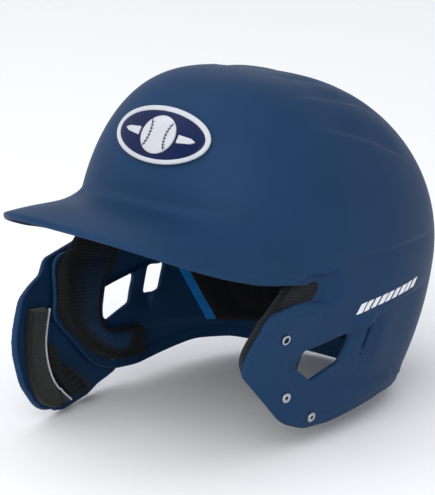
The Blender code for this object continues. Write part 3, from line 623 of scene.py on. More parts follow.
def turned(profile, hexagonal=()):
    """Body of (radius, height) pairs turned round z, ends on the axis; some rings are hexagons."""
    points, rings, faces = [], [], []
    sides = SCREW_SIDES
    for index, (radius, height) in enumerate(profile):
        count = 1 if radius == 0.0 else sides
        rings.append([len(points) + k for k in range(count)])
        for k in range(count):
            angle = 2 * math.pi * k / sides
            reach = radius
            if index in hexagonal:
                reach *= math.cos(math.pi / 6) / math.cos(angle % (math.pi / 3) - math.pi / 6)
            points.append((reach * math.cos(angle), reach * math.sin(angle), height))
    for low, high in zip(rings, rings[1:]):
        for k in range(sides):
            following = k + 1
            corners = [low[k % len(low)], low[following % len(low)],
                       high[following % len(high)], high[k % len(high)]]
            corners = [v for i, v in enumerate(corners) if v != corners[i - 1]]
            if len(corners) > 2:
                faces.append(corners)
    return points, faces


# ---------------------------------------------------------------- materials
def linear(colour, factor=1.0):
    """Linear RGBA of an sRGB hex colour or triple, first made lighter or darker by a factor."""
    bands = from_hex(colour) if isinstance(colour, str) else colour
    bands = [min(band * factor, 1.0) for band in bands]
    return (*[c / 12.92 if c <= 0.04045 else ((c + 0.055) / 1.055) ** 2.4 for c in bands], 1.0)


def add_node(tree, kind, inputs, to=(), **options):
    """Add a shader node: options, input values or links by socket, and (output, socket) links out."""
    node = tree.nodes.new("ShaderNode" + kind)
    for name, value in options.items():
        setattr(node, name, value)
    for name, value in inputs.items():
        if isinstance(value, bpy.types.NodeSocket):
            tree.links.new(value, node.inputs[name])
        else:
            node.inputs[name].default_value = value
    for output, socket in to:
        tree.links.new(node.outputs[output], socket)
    return node


def new_material(name, values):
    """Principled material with values on its own sockets; also its tree, sockets and object place."""
    material = bpy.data.materials.new(name)
    material.use_nodes = True
    tree = material.node_tree
    surface = tree.nodes["Principled BSDF"].inputs
    for socket, value in values.items():
        surface[socket].default_value = value
    return material, tree, surface, add_node(tree, "TexCoord", {}).outputs["Object"]


def mottled(name, values, dark, light, pattern, bump=None, kind="TexNoise", output="Fac"):
    """Material whose colour varies from dark to light with one fine pattern, which may raise it too."""
    material, tree, surface, place = new_material(name, values)
    level = add_node(tree, kind, {"Vector": place, **pattern}).outputs[output]
    add_node(tree, "Mix", {0: level, 6: dark, 7: light}, [(2, surface["Base Color"])], data_type="RGBA")
    if bump:
        add_node(tree, "Bump", {"Height": level, "Strength": bump[0], "Distance": bump[1]},
                 [("Normal", surface["Normal"])])
    return material


def moulded_abs():
    """Matte ABS, injection moulded in an eroded tool."""
    # The eroded grain breaks the highlight into a broad soft sheen, with slow cloudy patches a little
    # smoother.  Its grain is 0.7 mm across, coarser than the real 0.2 mm, so that it shows at all.
    colour = settings().shell_colour
    material, tree, surface, place = new_material(
        "matte_abs_eroded", {"Roughness": 0.50, "IOR": 1.50, "Specular IOR Level": 0.08})
    grain = add_node(tree, "TexNoise", {"Vector": place, "Scale": 1400.0, "Detail": 3.0}).outputs["Fac"]
    cloud = add_node(tree, "TexNoise", {"Vector": place, "Scale": 18.0, "Detail": 4.0}).outputs["Fac"]
    add_node(tree, "Mix", {0: cloud, 6: linear(colour, 0.94), 7: linear(colour, 1.07)},
             [(2, surface["Base Color"])], data_type="RGBA")
    add_node(tree, "MapRange", {"Value": cloud, "From Min": 0.3, "From Max": 0.7, "To Min": 0.46,
                                "To Max": 0.54}, [("Result", surface["Roughness"])])
    add_node(tree, "Bump", {"Height": grain, "Strength": 0.10, "Distance": 0.0002},
             [("Normal", surface["Normal"])])
    return material


def gloss_resin(name, colour, roughness):
    """Poured badge resin: a smooth clear skin over a flat colour."""
    # The coat gives the sharp reflections, and the slow waviness bends them as cast resin does.
    return mottled(name, {"Roughness": roughness, "Specular IOR Level": 0.12, "Coat Weight": 0.06,
                          "Coat Roughness": 0.08}, linear(colour, 0.94), linear(colour, 1.05),
                   {"Scale": 55.0, "Detail": 2.0}, (0.12, 0.0008))


def eva_foam():
    """Closed-cell EVA foam, sliced from a block."""
    # Cut cells of about 0.6 mm leave a fine pitted face that scatters light.
    colour = settings().foam_colour
    return mottled("eva_foam_sliced", {"Roughness": 0.78, "Specular IOR Level": 0.25},
                   linear(colour, 0.82), linear(colour, 1.08), {"Scale": 1500.0}, (0.35, 0.0004),
                   "TexVoronoi", "Distance")


def knit_cover(name, dots=None, wale=1.1, direction="X"):
    """Black warp-knit polyester over foam; dots opens a mesh that shows the blue foam below."""
    # Wales 1 to 2 mm apart, coarser than the real 0.5 mm so that they still show at arm's length.
    material, tree, surface, place = new_material(
        name, {"Roughness": 0.82, "Specular IOR Level": 0.22, "Sheen Weight": 0.14,
               "Sheen Roughness": 0.5, "Sheen Tint": linear("#8A93A3")})
    flat = add_node(tree, "UVMap", {}, uv_map="lay_flat").outputs["UV"]
    ribs = add_node(tree, "TexWave", {"Vector": flat, "Scale": WAVE_SPAN / wale, "Distortion": 0.6,
                                      "Detail": 1.0}, bands_direction=direction).outputs["Fac"]
    fuzz = add_node(tree, "TexNoise", {"Vector": place, "Scale": 160.0, "Detail": 5.0}).outputs["Fac"]
    level = add_node(tree, "Math", {0: ribs, 1: fuzz}, operation="MULTIPLY").outputs["Value"]
    knit = add_node(tree, "Mix", {0: level, 6: linear("#08080A"), 7: linear("#1D1E21")},
                    [(2, surface["Base Color"])], data_type="RGBA").outputs[2]
    add_node(tree, "Bump", {"Height": ribs, "Strength": 0.45, "Distance": 0.0003 * wale},
             [("Normal", surface["Normal"])])
    if dots is None:
        return material
    band = add_node(tree, "Attribute", {}, attribute_name="mesh_band").outputs["Fac"]
    slanted = add_node(tree, "Mapping", {"Vector": flat, "Rotation": (0.0, 0.0, math.radians(45))})
    cell = add_node(tree, "TexVoronoi", {"Vector": slanted.outputs["Vector"], "Scale": 1000.0 / dots,
                                         "Randomness": 0.08}, voronoi_dimensions="2D")
    hole = add_node(tree, "MapRange", {"Value": cell.outputs["Distance"], "From Min": 0.36,
                                       "From Max": 0.24, "To Min": 0.0, "To Max": 1.0}).outputs["Result"]
    shown = add_node(tree, "Math", {0: hole, 1: band}, operation="MULTIPLY").outputs["Value"]
    add_node(tree, "Mix", {0: shown, 6: knit, 7: linear(settings().foam_colour, 0.80)},
             [(2, surface["Base Color"])], data_type="RGBA")
    return material


def woven_tape():
    """Grey polyester tape with a fine rib, woven and heat set."""
    # Ribs 1.2 mm apart run along the tape; the threads' sides make it darker between them.
    material, tree, surface, place = new_material(
        "woven_grey_tape", {"Roughness": 0.88, "Specular IOR Level": 0.25, "Sheen Weight": 0.15})
    flat = add_node(tree, "UVMap", {}, uv_map="lay_flat").outputs["UV"]
    rib, pick = [add_node(tree, "TexWave", {"Vector": flat, "Scale": WAVE_SPAN / span, "Distortion": 0.3},
                          bands_direction=direction).outputs["Fac"]
                 for span, direction in ((1.2, "X"), (1.6, "Y"))]
    fuzz = add_node(tree, "TexNoise", {"Vector": place, "Scale": 420.0, "Detail": 4.0}).outputs["Fac"]
    weave = add_node(tree, "Math", {0: rib, 1: pick}, operation="MULTIPLY").outputs["Value"]
    level = add_node(tree, "Math", {0: weave, 1: fuzz}, operation="ADD").outputs["Value"]
    add_node(tree, "Mix", {0: level, 6: linear("#0D0E0D"), 7: linear("#1F201E")},
             [(2, surface["Base Color"])], data_type="RGBA")
    add_node(tree, "Bump", {"Height": weave, "Strength": 0.6, "Distance": 0.0005},
             [("Normal", surface["Normal"])])
    return material


def wrapped_cord():
    """White polyester wrapped over a cord, as piping is made."""
    # The threads' crossings leave small grey pits, which keep the white from looking like plastic.
    # They are 1.1 mm apart, coarser than the real 0.3 mm, so that they show.
    return mottled("piping_white", {"Roughness": 0.75, "Specular IOR Level": 0.3}, linear("#9A9CA0"),
                   linear("#E4E5E8"), {"Scale": 900.0, "Detail": 2.0}, (0.5, 0.0003))


def plated_steel(name, light, dark, roughness):
    """Zinc-plated steel, turned and tumbled; near-black colours give the painted shade inside a screw's
    socket.
    """
    # A soft cloudy plating keeps the highlight from being a mirror.  Its patches are 1.7 mm across.
    return mottled(name, {"Metallic": 1.0, "Roughness": roughness}, linear(dark), linear(light),
                   {"Scale": 600.0, "Detail": 4.0}, (0.15, 0.0002))


def printed_ink():
    """White pad-printed ink, a thin satin film."""
    # The film's thickness varies a little over 2 mm, so its white does too.
    return mottled("pad_print_white", {"Roughness": 0.45}, linear("#D2D5DB"), linear("#F2F3F5"),
                   {"Scale": 500.0, "Detail": 3.0})


# ---------------------------------------------------------------- shell
def shell_relief(points):
    """How far the moulded details raise or sink the shell's surface at each point."""
    x, y, z = np.abs(points[:, 0]), points[:, 1], points[:, 2]
    relief = np.zeros(len(points))
    side = blend(0.050, 0.066, x)

    # Borders of the face opening, a little sunk along their creases.
    for line, depth, width, fades in ((BROW_CREASE, 0.0015, 0.0026, (0.22, 0.12)),
                                      (FLAP_CREASE, 0.0014, 0.0024, (0.10, 0.45))):
        distance, share = line_distance(y, z, line)
        relief -= depth * blend(0.0, width, -distance) * fade_ends(share, *fades) * (distance > -0.02) * side

    # Long crease over the ear towards the back, and the scoop below it.
    distance, share = line_distance(y, z, REAR_CREASE)
    below = np.maximum(-distance, 0.0)
    relief -= 0.0020 * blend(0.0, 0.0020, below) * np.exp(-below / 0.022) * fade_ends(share, 0.30, 0.35)
    inside = outline_distance(y, z, np.array(SCOOP)) < 0.0
    top, _ = line_distance(y, z, SCOOP[:SCOOP_UPPER])
    rest, _ = line_distance(y, z, SCOOP[SCOOP_UPPER:] + SCOOP[:1])
    sunk = blend(0.0, 0.0020, np.abs(top)) * blend(0.0, 0.0042, np.abs(rest)) * (1.0 - blend(0.055, 0.098, y))
    relief -= np.where(inside, SCOOP_DEPTH * sunk, 0.0)

    # The vent opens to the rear, between a raised front and a sunk back.
    distance, share = line_distance(y, z, VENT_STEP)
    tall = fade_ends(share, 0.28, 0.35)
    front = blend(0.0015, -0.0015, distance)
    relief += 0.0034 * tall * front * (1.0 - blend(0.004, 0.030, -distance))
    relief -= 0.0018 * tall * (1.0 - front) * (1.0 - blend(0.004, 0.024, distance))

    # Rims turn in slightly, and shallow channels run over the crown.
    low = z < 0.0985 + 0.0135 * blend(-0.056, -0.046, y)
    rim = outline_distance(y, z, rounded_outline(RIM_PROFILE))
    border = 0.0011 * (1.0 - blend(0.0066, 0.0082, rim)) \
        + 0.0010 * np.clip(1.0 - rim / 0.0066, 0.0, 1.0) ** 1.4
    relief -= np.where(low, border, 0.0)
    for line, half_width, depth in CROWN_CHANNELS:
        distance, share = line_distance(x, y, line)
        across = distance / half_width
        channel = np.where(across < 0, 1.0 - blend(0.0, 0.30, -across), 1.0 - blend(0.0, 2.2, across))
        relief -= np.where(z > 0.135, depth * channel * fade_ends(share, 0.45, 0.25), 0.0)
    return relief


def shell_sheet(columns):
    """Untrimmed outer surface: points, outward normals and quads."""
    crown_rows, brow_rows, low_rows = SHELL_ROWS
    # Columns stand closer together at the sides, where the moulded details are.
    even = np.linspace(-math.pi, math.pi, 2881)
    dense = 1.0 + 1.3 * blend(math.radians(25), math.radians(45), np.abs(even)) \
        * (1 - blend(math.radians(112), math.radians(140), np.abs(even)))
    passed = np.concatenate([[0.0], np.cumsum((dense[1:] + dense[:-1]) / 2)])
    angle = np.interp(np.arange(columns) * passed[-1] / columns, passed, even)
    turn = np.abs(angle)
    waist = BILL_ROOT_HEIGHT \
        + (TEMPLE_ROOT_HEIGHT - BILL_ROOT_HEIGHT) * blend(math.radians(30), math.radians(66), turn)
    end_share = share_at(angle, waist)
    row = 1.0 - (1.0 - np.arange(1, crown_rows + 1)[:, None] / crown_rows) ** 1.35
    crown = dome(angle, end_share * np.sin(math.pi / 2 * row))

    # Bill: one curve per column, from the brow out to the edge.
    start = dome(angle, end_share)
    down = unit(dome(angle, share_at(angle, waist - 0.001)) - start)
    reach, height = bill_edge(angle)
    end = np.stack([reach * np.sin(angle), -reach * np.cos(angle), height], axis=1)
    slope = BILL_SLOPE + (math.pi / 2 - BILL_SLOPE) * blend(math.radians(35), math.radians(66), turn)
    out = np.stack([np.sin(angle) * np.cos(slope), -np.cos(angle) * np.cos(slope), -np.sin(slope)], axis=1)
    length = np.linalg.norm(end - start, axis=1, keepdims=True)
    t = (np.arange(1, brow_rows + 1) / brow_rows)[:, None, None]
    bill = (start * (1 - t) ** 3 + (start + down * BILL_STIFFNESS[0] * length) * (3 * t * (1 - t) ** 2)
            + (end - out * BILL_STIFFNESS[1] * length) * (3 * t * t * (1 - t)) + end * t ** 3)
    ahead = 1 - blend(math.radians(42), math.radians(62), turn)
    bill[..., 2] += BILL_CROWN * np.sin(math.pi * t[..., 0]) * ahead
    heights = waist + (JOIN_HEIGHT - waist) * t[..., 0]
    wall = dome(np.broadcast_to(angle, heights.shape), share_at(angle, heights))
    mix = blend(*TEMPLE_ANGLES, turn)[:, None]
    brow = bill * (1 - mix) + wall * mix

    lowered = np.linspace(JOIN_HEIGHT, LOWEST, low_rows + 1)
    top = np.where(turn < TEMPLE_ANGLES[1], 0.097, JOIN_HEIGHT)
    heights = LOWEST + (lowered[:, None] - LOWEST) * (top - LOWEST) / (JOIN_HEIGHT - LOWEST)
    lower = dome(np.broadcast_to(angle, heights.shape), share_at(angle, heights))

    upper_count = 1 + (crown_rows + brow_rows) * columns
    points = np.concatenate([dome(0.0, 0.0).reshape(1, 3), crown.reshape(-1, 3), brow.reshape(-1, 3),
                             lower.reshape(-1, 3)])
    column = np.arange(columns)
    following = (column + 1) % columns
    faces = [np.stack([column * 0, column + 1, following + 1, column * 0], axis=1)]
    for index in range(crown_rows + brow_rows - 1):
        a, b = 1 + index * columns, 1 + (index + 1) * columns
        faces.append(np.stack([a + column, b + column, b + following, a + following], axis=1))
    last_upper = 1 + (crown_rows + brow_rows - 1) * columns
    joined = turn >= TEMPLE_ANGLES[1]
    shown = (turn >= FLAP_START_ANGLE) & (turn[following] >= FLAP_START_ANGLE)
    for index in range(low_rows):
        a, b = upper_count + index * columns, upper_count + (index + 1) * columns
        first = np.where(joined & (index == 0), last_upper, a)
        first_next = np.where(joined[following] & (index == 0), last_upper, a)
        quads = np.stack([first + column, b + column, b + following, first_next + following], axis=1)
        faces.append(quads[shown])
    faces = np.concatenate(faces)
    return points, vertex_normals(points, faces), faces


def shell_cut(points):
    """Distance from the shell's rims and holes, positive where there is material."""
    value = np.full(len(points), 1.0)
    low = points[:, 2] < 0.125
    y, z = points[low, 1], points[low, 2]
    value[low] = np.minimum.reduce([outline_distance(y, z, rounded_outline(corners))
                                    for corners in (RIM_PROFILE, EAR_HOLE, REAR_VENT)])
    return value


def build_shell():
    """Shell with its bill, ear flaps, vents and moulded relief."""
    points, normals, faces = shell_sheet(settings().columns)
    points, normals, faces = trim_sheet(points, normals, faces, shell_cut)
    normals = unit(normals)
    angle = np.arctan2(points[:, 0], -points[:, 1])
    inset = bill_edge(angle)[0] - np.hypot(points[:, 0], points[:, 1])
    on_bill = (1 - blend(math.radians(50), math.radians(62), np.abs(angle))) * (points[:, 2] < 0.135) \
        * (points[:, 2] > 0.099)
    wall = WALL + 0.0016 * (1.0 - blend(0.0, 0.0065, inset)) * on_bill
    points = points + normals * shell_relief(points)[:, None]
    points, faces = thicken(points, normals, faces, wall, settings().rim_radius * (1.0 + 0.8 * on_bill))
    shell = add_piece("shell_moulding", points, faces, moulded_abs(), sharp=50, turn=False)
    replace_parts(shell, "shell")


# ---------------------------------------------------------------- jaw guard and its pads
def guard_points(y, z, lift):
    """Points of the guard's inner face at (y, z), raised by lift away from the head."""
    y, z = np.broadcast_arrays(np.asarray(y, float), np.asarray(z, float))
    depth = -GUARD_GAP - np.broadcast_to(np.asarray(lift, float), y.shape)
    near = side_points(np.maximum(y, GUARD_TANGENT_Y), z, depth, "right")
    behind = side_points(np.full(y.shape, GUARD_TANGENT_Y + 0.004), z, depth, "right")
    start = side_points(np.full(y.shape, GUARD_TANGENT_Y), z, depth, "right")
    direction = start - behind
    ahead = np.maximum(GUARD_TANGENT_Y - y, 0.0)
    inward = -direction[..., 0] / direction[..., 1] * ahead + GUARD_CURVE * ahead ** 2
    curved = np.stack([start[..., 0] + inward, y + start[..., 1] - GUARD_TANGENT_Y, z], axis=-1)
    return np.where((ahead > 0.0)[..., None], curved, near)


def grid_faces(rows, columns):
    """Quads of a grid of points."""
    i, j = np.meshgrid(np.arange(rows - 1), np.arange(columns - 1), indexing="ij")
    first = (i * columns + j).ravel()
    return np.stack([first, first + 1, first + columns + 1, first + columns], axis=1)


def build_guard():
    """Jaw guard with its rounded rim."""
    outline = rounded_outline(GUARD_PROFILE, 12)
    z, y = np.meshgrid(np.linspace(0.104, -0.030, 104), np.linspace(0.002, -0.142, 112), indexing="ij")
    points = guard_points(y, z, GUARD_WALL).reshape(-1, 3)
    flat = np.stack([y.ravel(), z.ravel()], axis=1)
    faces = grid_faces(*y.shape)
    normals = vertex_normals(points, faces)
    if normals[:, 0].mean() > 0:
        faces, normals = faces[:, ::-1], -normals
    inset = -outline_distance(flat[:, 0], flat[:, 1], outline)
    carried = np.concatenate([points, flat], axis=1)
    carried, normals, faces = trim_sheet(carried, normals, faces, lambda _: inset)
    points = carried[:, :3]
    inset = -outline_distance(carried[:, 3], carried[:, 4], outline)
    rolled = 1.0 - blend(0.0, 0.0045, inset)
    rolled *= 1.0 - blend(-0.098, -0.086, points[:, 1])
    points, faces = thicken(points + normals * 0.0002 * rolled[:, None], normals, faces,
                            GUARD_WALL + 0.0008 * rolled, 0.0014)
    guard = add_piece("jaw_guard_moulding", points, faces, moulded_abs(), sharp=50, turn=False)
    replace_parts(guard, "jaw_guard")


def guard_pad(name, node, stops, thickness, material, crown, creases=0.0):
    """Pad along the guard's inner face between two edges, crowned and rounded at its edges."""
    path = smooth_path(stops, 16)
    u = np.linspace(0, 1, 17)
    y = path[:, None, 0] * (1 - u) + path[:, None, 2] * u
    z = path[:, None, 1] * (1 - u) + path[:, None, 3] * u
    v = np.linspace(0, 1, len(path))[:, None]
    hump = np.sin(math.pi * u)[None, :]
    round_off = np.clip(hump * 6, 0, 1) ** 0.5 * np.clip(np.sin(math.pi * v) * 12, 0, 1) ** 0.5
    swell = (1 - crown + crown * hump) * round_off
    swell = swell * (1.0 + creases * np.sin(v * 61.0 + 3.0 * np.sin(u * 4.0)[None, :]) * hump)
    base = -FIT_GAP - LAYER_GAP
    back = guard_points(y, z, base)
    front = guard_points(y, z, base - 0.0004 - thickness * 0.97 * swell)
    points, faces = slab(front, back)
    width = np.hypot(path[:, 2] - path[:, 0], path[:, 3] - path[:, 1]).mean()
    length = np.hypot(*np.diff(path[:, :2], axis=0).T).sum()
    flat = np.stack(np.broadcast_arrays(u[None, :] * width, v * length), axis=-1).reshape(-1, 2)
    pad = add_piece(name, points, faces, material, np.concatenate([flat, flat]))
    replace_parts(pad, node)


def build_guard_pads():
    """Woven edge strip, white piping and cheek pad inside the jaw guard."""
    guard_pad("edge_strip", "guard_edge_pad", GUARD_STRIP, GUARD_STRIP_THICKNESS * 0.72, woven_tape(),
              0.25)
    guard_pad("cheek_pad", "guard_cheek_pad", GUARD_CHEEK, GUARD_CHEEK_THICKNESS,
              knit_cover("knit_black_cheek"), 0.45, creases=0.07)
    edge = smooth_path([stop[2:] for stop in GUARD_STRIP], 12)
    along = np.gradient(edge, axis=0)
    aside = np.stack([-along[:, 1], along[:, 0]], axis=1)
    aside *= (PIPING_RADIUS + FIT_GAP) / np.linalg.norm(aside, axis=1, keepdims=True)
    path = guard_points(edge[:, 0] + aside[:, 0], edge[:, 1] + aside[:, 1],
                        -FIT_GAP - LAYER_GAP - GUARD_STRIP_THICKNESS * 0.50)
    points, faces = tube(path, PIPING_RADIUS, 10)
    piping = add_piece("edge_piping", points, faces, wrapped_cord())
    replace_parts(piping, "guard_pad_piping")


# ---------------------------------------------------------------- liner
def swell_at(u, v):
    """How far a cushion is raised at a place in its outline, from 0 to 1."""
    return np.sqrt(np.maximum(np.sin(math.pi * u) * np.sin(math.pi * v), 0.0))


def band_grid(low_angles, high_angles, low, high, rows, columns):
    """Angles, shares and heights of a pad between two heights."""
    v, u = unit_grid(rows + 1, columns + 1)
    start = low_angles[0] + (high_angles[0] - low_angles[0]) * v
    end = low_angles[1] + (high_angles[1] - low_angles[1]) * v
    angle = np.radians(start + (end - start) * u)
    return angle, share_at(angle, low + (high - low) * v), u, v


def crown_grid(half_width, front, rear, rows, columns):
    """Angles and shares of a pad over the crown, between two y values."""
    v, u = unit_grid(rows + 1, columns + 1)
    x, y = half_width * (2 * u - 1), front + (rear - front) * v
    angle = np.arctan2(x, -y)
    return angle, np.hypot(x, y) / plan_reach(angle), u, v


def ear_grid(side):
    """Angles and shares of an ear pad, which curves round the ear hole."""
    path = smooth_path(EAR_PAD, 10)
    v, u = unit_grid(len(path), 19)
    path[:, 0] += EAR_COVER_SHIFT[side]
    # Both ends are rounded in outline.
    full = np.sqrt(np.clip(1.0 - np.clip((np.abs(v - 0.5) - 0.43) / 0.075, 0.0, 1.0) ** 2, 0.0, 1.0))
    u_round = 0.5 + (u - 0.5) * (0.25 + 0.75 * full)
    y = path[:, None, 0] * (1 - u_round) + path[:, None, 2] * u_round
    z = path[:, None, 1] * (1 - u_round) + path[:, None, 3] * u_round
    angle, share = side_place(y, z)
    return FLIP[side] * angle, share, u, v


def puff_up(pad, held, pressure):
    """Fill a cover by a short cloth simulation with its back and seams held, and keep the result."""
    mesh = pad.data
    before = np.empty(len(mesh.vertices) * 3)
    mesh.vertices.foreach_get("co", before)
    before = before.reshape(-1, 3)
    pad.vertex_groups.new(name="held").add(np.nonzero(held)[0].tolist(), 1.0, "REPLACE")
    cloth = pad.modifiers.new("filling", "CLOTH")
    # Light limp fabric, blown up from inside, with no weight.
    cloth.settings.quality = 6
    cloth.settings.mass = 0.002
    cloth.settings.tension_stiffness = cloth.settings.compression_stiffness = 6.0
    cloth.settings.bending_stiffness = 0.05
    cloth.settings.use_pressure = True
    cloth.settings.uniform_pressure_force = pressure
    cloth.settings.vertex_group_mass = "held"
    cloth.settings.effector_weights.gravity = 0.0
    cloth.collision_settings.use_self_collision = False
    for number in range(1, PUFF_FRAMES + 1):
        bpy.context.scene.frame_set(number)
    evaluated = pad.evaluated_get(bpy.context.evaluated_depsgraph_get())
    after = np.empty(len(mesh.vertices) * 3)
    evaluated.data.vertices.foreach_get("co", after)
    move = after.reshape(-1, 3) - before
    length = np.linalg.norm(move, axis=1, keepdims=True) + 1e-12
    move *= np.tanh(length / SWELL_LIMIT) * SWELL_LIMIT / length
    mesh.vertices.foreach_set("co", (before + move).ravel())
    pad.modifiers.remove(cloth)
    pad.vertex_groups.clear()
    bpy.context.scene.frame_set(1)
    mesh.update()


def cushion(name, pad_name, grid, material, wraps=True, seam=0.12, folds=None, pressure=12.0):
    """Covered foam pad over a grid: rounded edges, a sewn groove inside them and a soft crown."""
    angle, share, u, v = grid
    surface, normal = dome(angle, share), dome_normal(angle, share)
    base = WALL + LINER_GAP
    step = FOAM_THICKNESS + LAYER_GAP
    if not wraps:
        base, step = base + step, 0.0
    edge = np.minimum(np.minimum(u, 1 - u) / seam, np.minimum(v, 1 - v) / seam)
    lip = np.clip(edge * 3.0, 0.0, 1.0) ** 0.5
    body = 0.50 * lip + 0.50 * swell_at(u, v) * blend(0.6, 2.2, edge)
    groove = np.exp(-((edge - 1.0) / 0.16) ** 2)
    body = body - 0.10 * groove
    if folds is not None:
        body = body + folds(u, v) * blend(1.0, 2.0, edge)
    depth = base + 0.0003 + step * lip + CUSHION_THICKNESS * np.clip(body, 0.0, 1.08)
    front, back = surface - normal * depth[..., None], surface - normal * base
    points, faces = slab(front, back)
    across = np.linalg.norm(np.diff(front, axis=1), axis=-1).sum(axis=1).mean()
    along = np.linalg.norm(np.diff(front, axis=0), axis=-1).sum(axis=0).mean()
    flat = np.stack([u * across, v * along], axis=-1).reshape(-1, 2)
    pad = add_piece(name, points, faces, material, np.concatenate([flat, flat]))
    seam_line = (groove > 0.55).ravel() | (edge <= 0.34).ravel()
    puff_up(pad, np.concatenate([seam_line, np.full(seam_line.shape, True)]), pressure)
    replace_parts(pad, pad_name + "_cushion")
    if wraps:
        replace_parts(pad, pad_name + "_foam")
    return pad, u, v


def rear_folds(u, v):
    """Upright wrinkles of the stretched cover at the back of the head."""
    wrinkle = 0.10 * np.sin(u * 120.0 + 4.0 * np.sin(v * 5.0)) * np.sin(math.pi * v) ** 0.5
    return wrinkle * (0.5 + 0.5 * np.sin(u * 17.0 + 1.0))


def band_windows(pad, u, v):
    """Marks where an ear pad's cover is open mesh over blue foam."""
    along = blend(0.08, 0.30, v) * (1 - blend(0.78, 0.88, v))
    across = blend(0.20, 0.50, u) * (1 - blend(0.76, 0.90, u))
    band = (along * across * (0.55 + 0.45 * blend(0.45, 0.60, v))).ravel()
    layer = pad.data.attributes.new("mesh_band", "FLOAT", "POINT")
    layer.data.foreach_set("value", np.concatenate([band, band * 0.0]).astype(np.float32))


def build_liner():
    """Foam bases and covered cushions that line the shell."""
    black, stretch = knit_cover("knit_black"), knit_cover("knit_stretch")
    meshed = knit_cover("knit_open_mesh", dots=2.1, wale=2.0, direction="Y")
    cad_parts["rear_pad_foam"].material_slots[0].material = eva_foam()
    low, high, bottom, top = SIDE_PAD
    for side, flip in FLIP.items():
        pad, u, v = cushion("ear_cushion_" + side, "ear_pad_" + side, ear_grid(side), meshed, seam=0.16,
                            pressure=45.0)
        band_windows(pad, u, v)
        grid = band_grid([flip * a for a in low], [flip * a for a in high], bottom + SIDE_COVER_RISE,
                         top, 40, 16)
        cushion("side_cushion_" + side, "side_pad_" + side, grid, black, pressure=40.0)
    cushion("brow_cushion", "brow_pad", band_grid(*BROW_PAD, 18, 70), black, seam=0.14, pressure=6.0)
    cushion("rear_cushion", "rear_pad", band_grid(*REAR_COVER, *REAR_PAD[2:], 30, 160), stretch,
            wraps=False, seam=0.10, folds=rear_folds)
    cushion("crown_cushion", "crown_pad", crown_grid(CROWN_PAD_HALF_WIDTH, *CROWN_PAD_Y, 44, 32), black)


# ---------------------------------------------------------------- badge
def badge_points(u, v, lift):
    """Points over the forehead at (u, v) across and up from the badge's centre."""
    u, v, lift = np.broadcast_arrays(np.asarray(u, float), np.asarray(v, float), np.asarray(lift, float))
    height = BADGE_HEIGHT + v * BADGE_SLOPE
    ahead = dome(np.zeros_like(height), share_at(0.0, height))
    angle = u / np.abs(ahead[..., 1])
    return over_dome(angle, share_at(angle, height), lift)


def emblem(name, node, outline, low, high, edge, material, rings=8):
    """Raised flat shape with a rounded edge, from an outline round a middle."""
    outline = np.asarray(outline, float)
    middle = outline.mean(axis=0)
    size = np.linalg.norm(outline - middle, axis=1).mean()
    shares = [0.02] + list(np.linspace(0.12, 1.0 - edge / size, rings)) + [1.0 - 0.3 * edge / size, 1.0]
    lifts = [high] * (rings + 1) + [high - 0.3 * edge, high - edge]
    front = np.stack([badge_points(*(middle + (outline - middle) * share).T, lift)
                      for share, lift in zip(shares, lifts)])
    back = np.stack([badge_points(*(middle + (outline - middle) * share).T, low) for share in shares])
    points, faces = slab(front, back, closed=True)
    # Two caps close the middle, in place of the wall between the two innermost rings.
    count = len(outline)
    start = len(shares) * count
    faces = [face for face in faces if max(v % start for v in face) >= count]
    faces += [list(range(count)), list(range(start, start + count))]
    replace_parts(add_piece(name, points, faces, material, sharp=40), node)


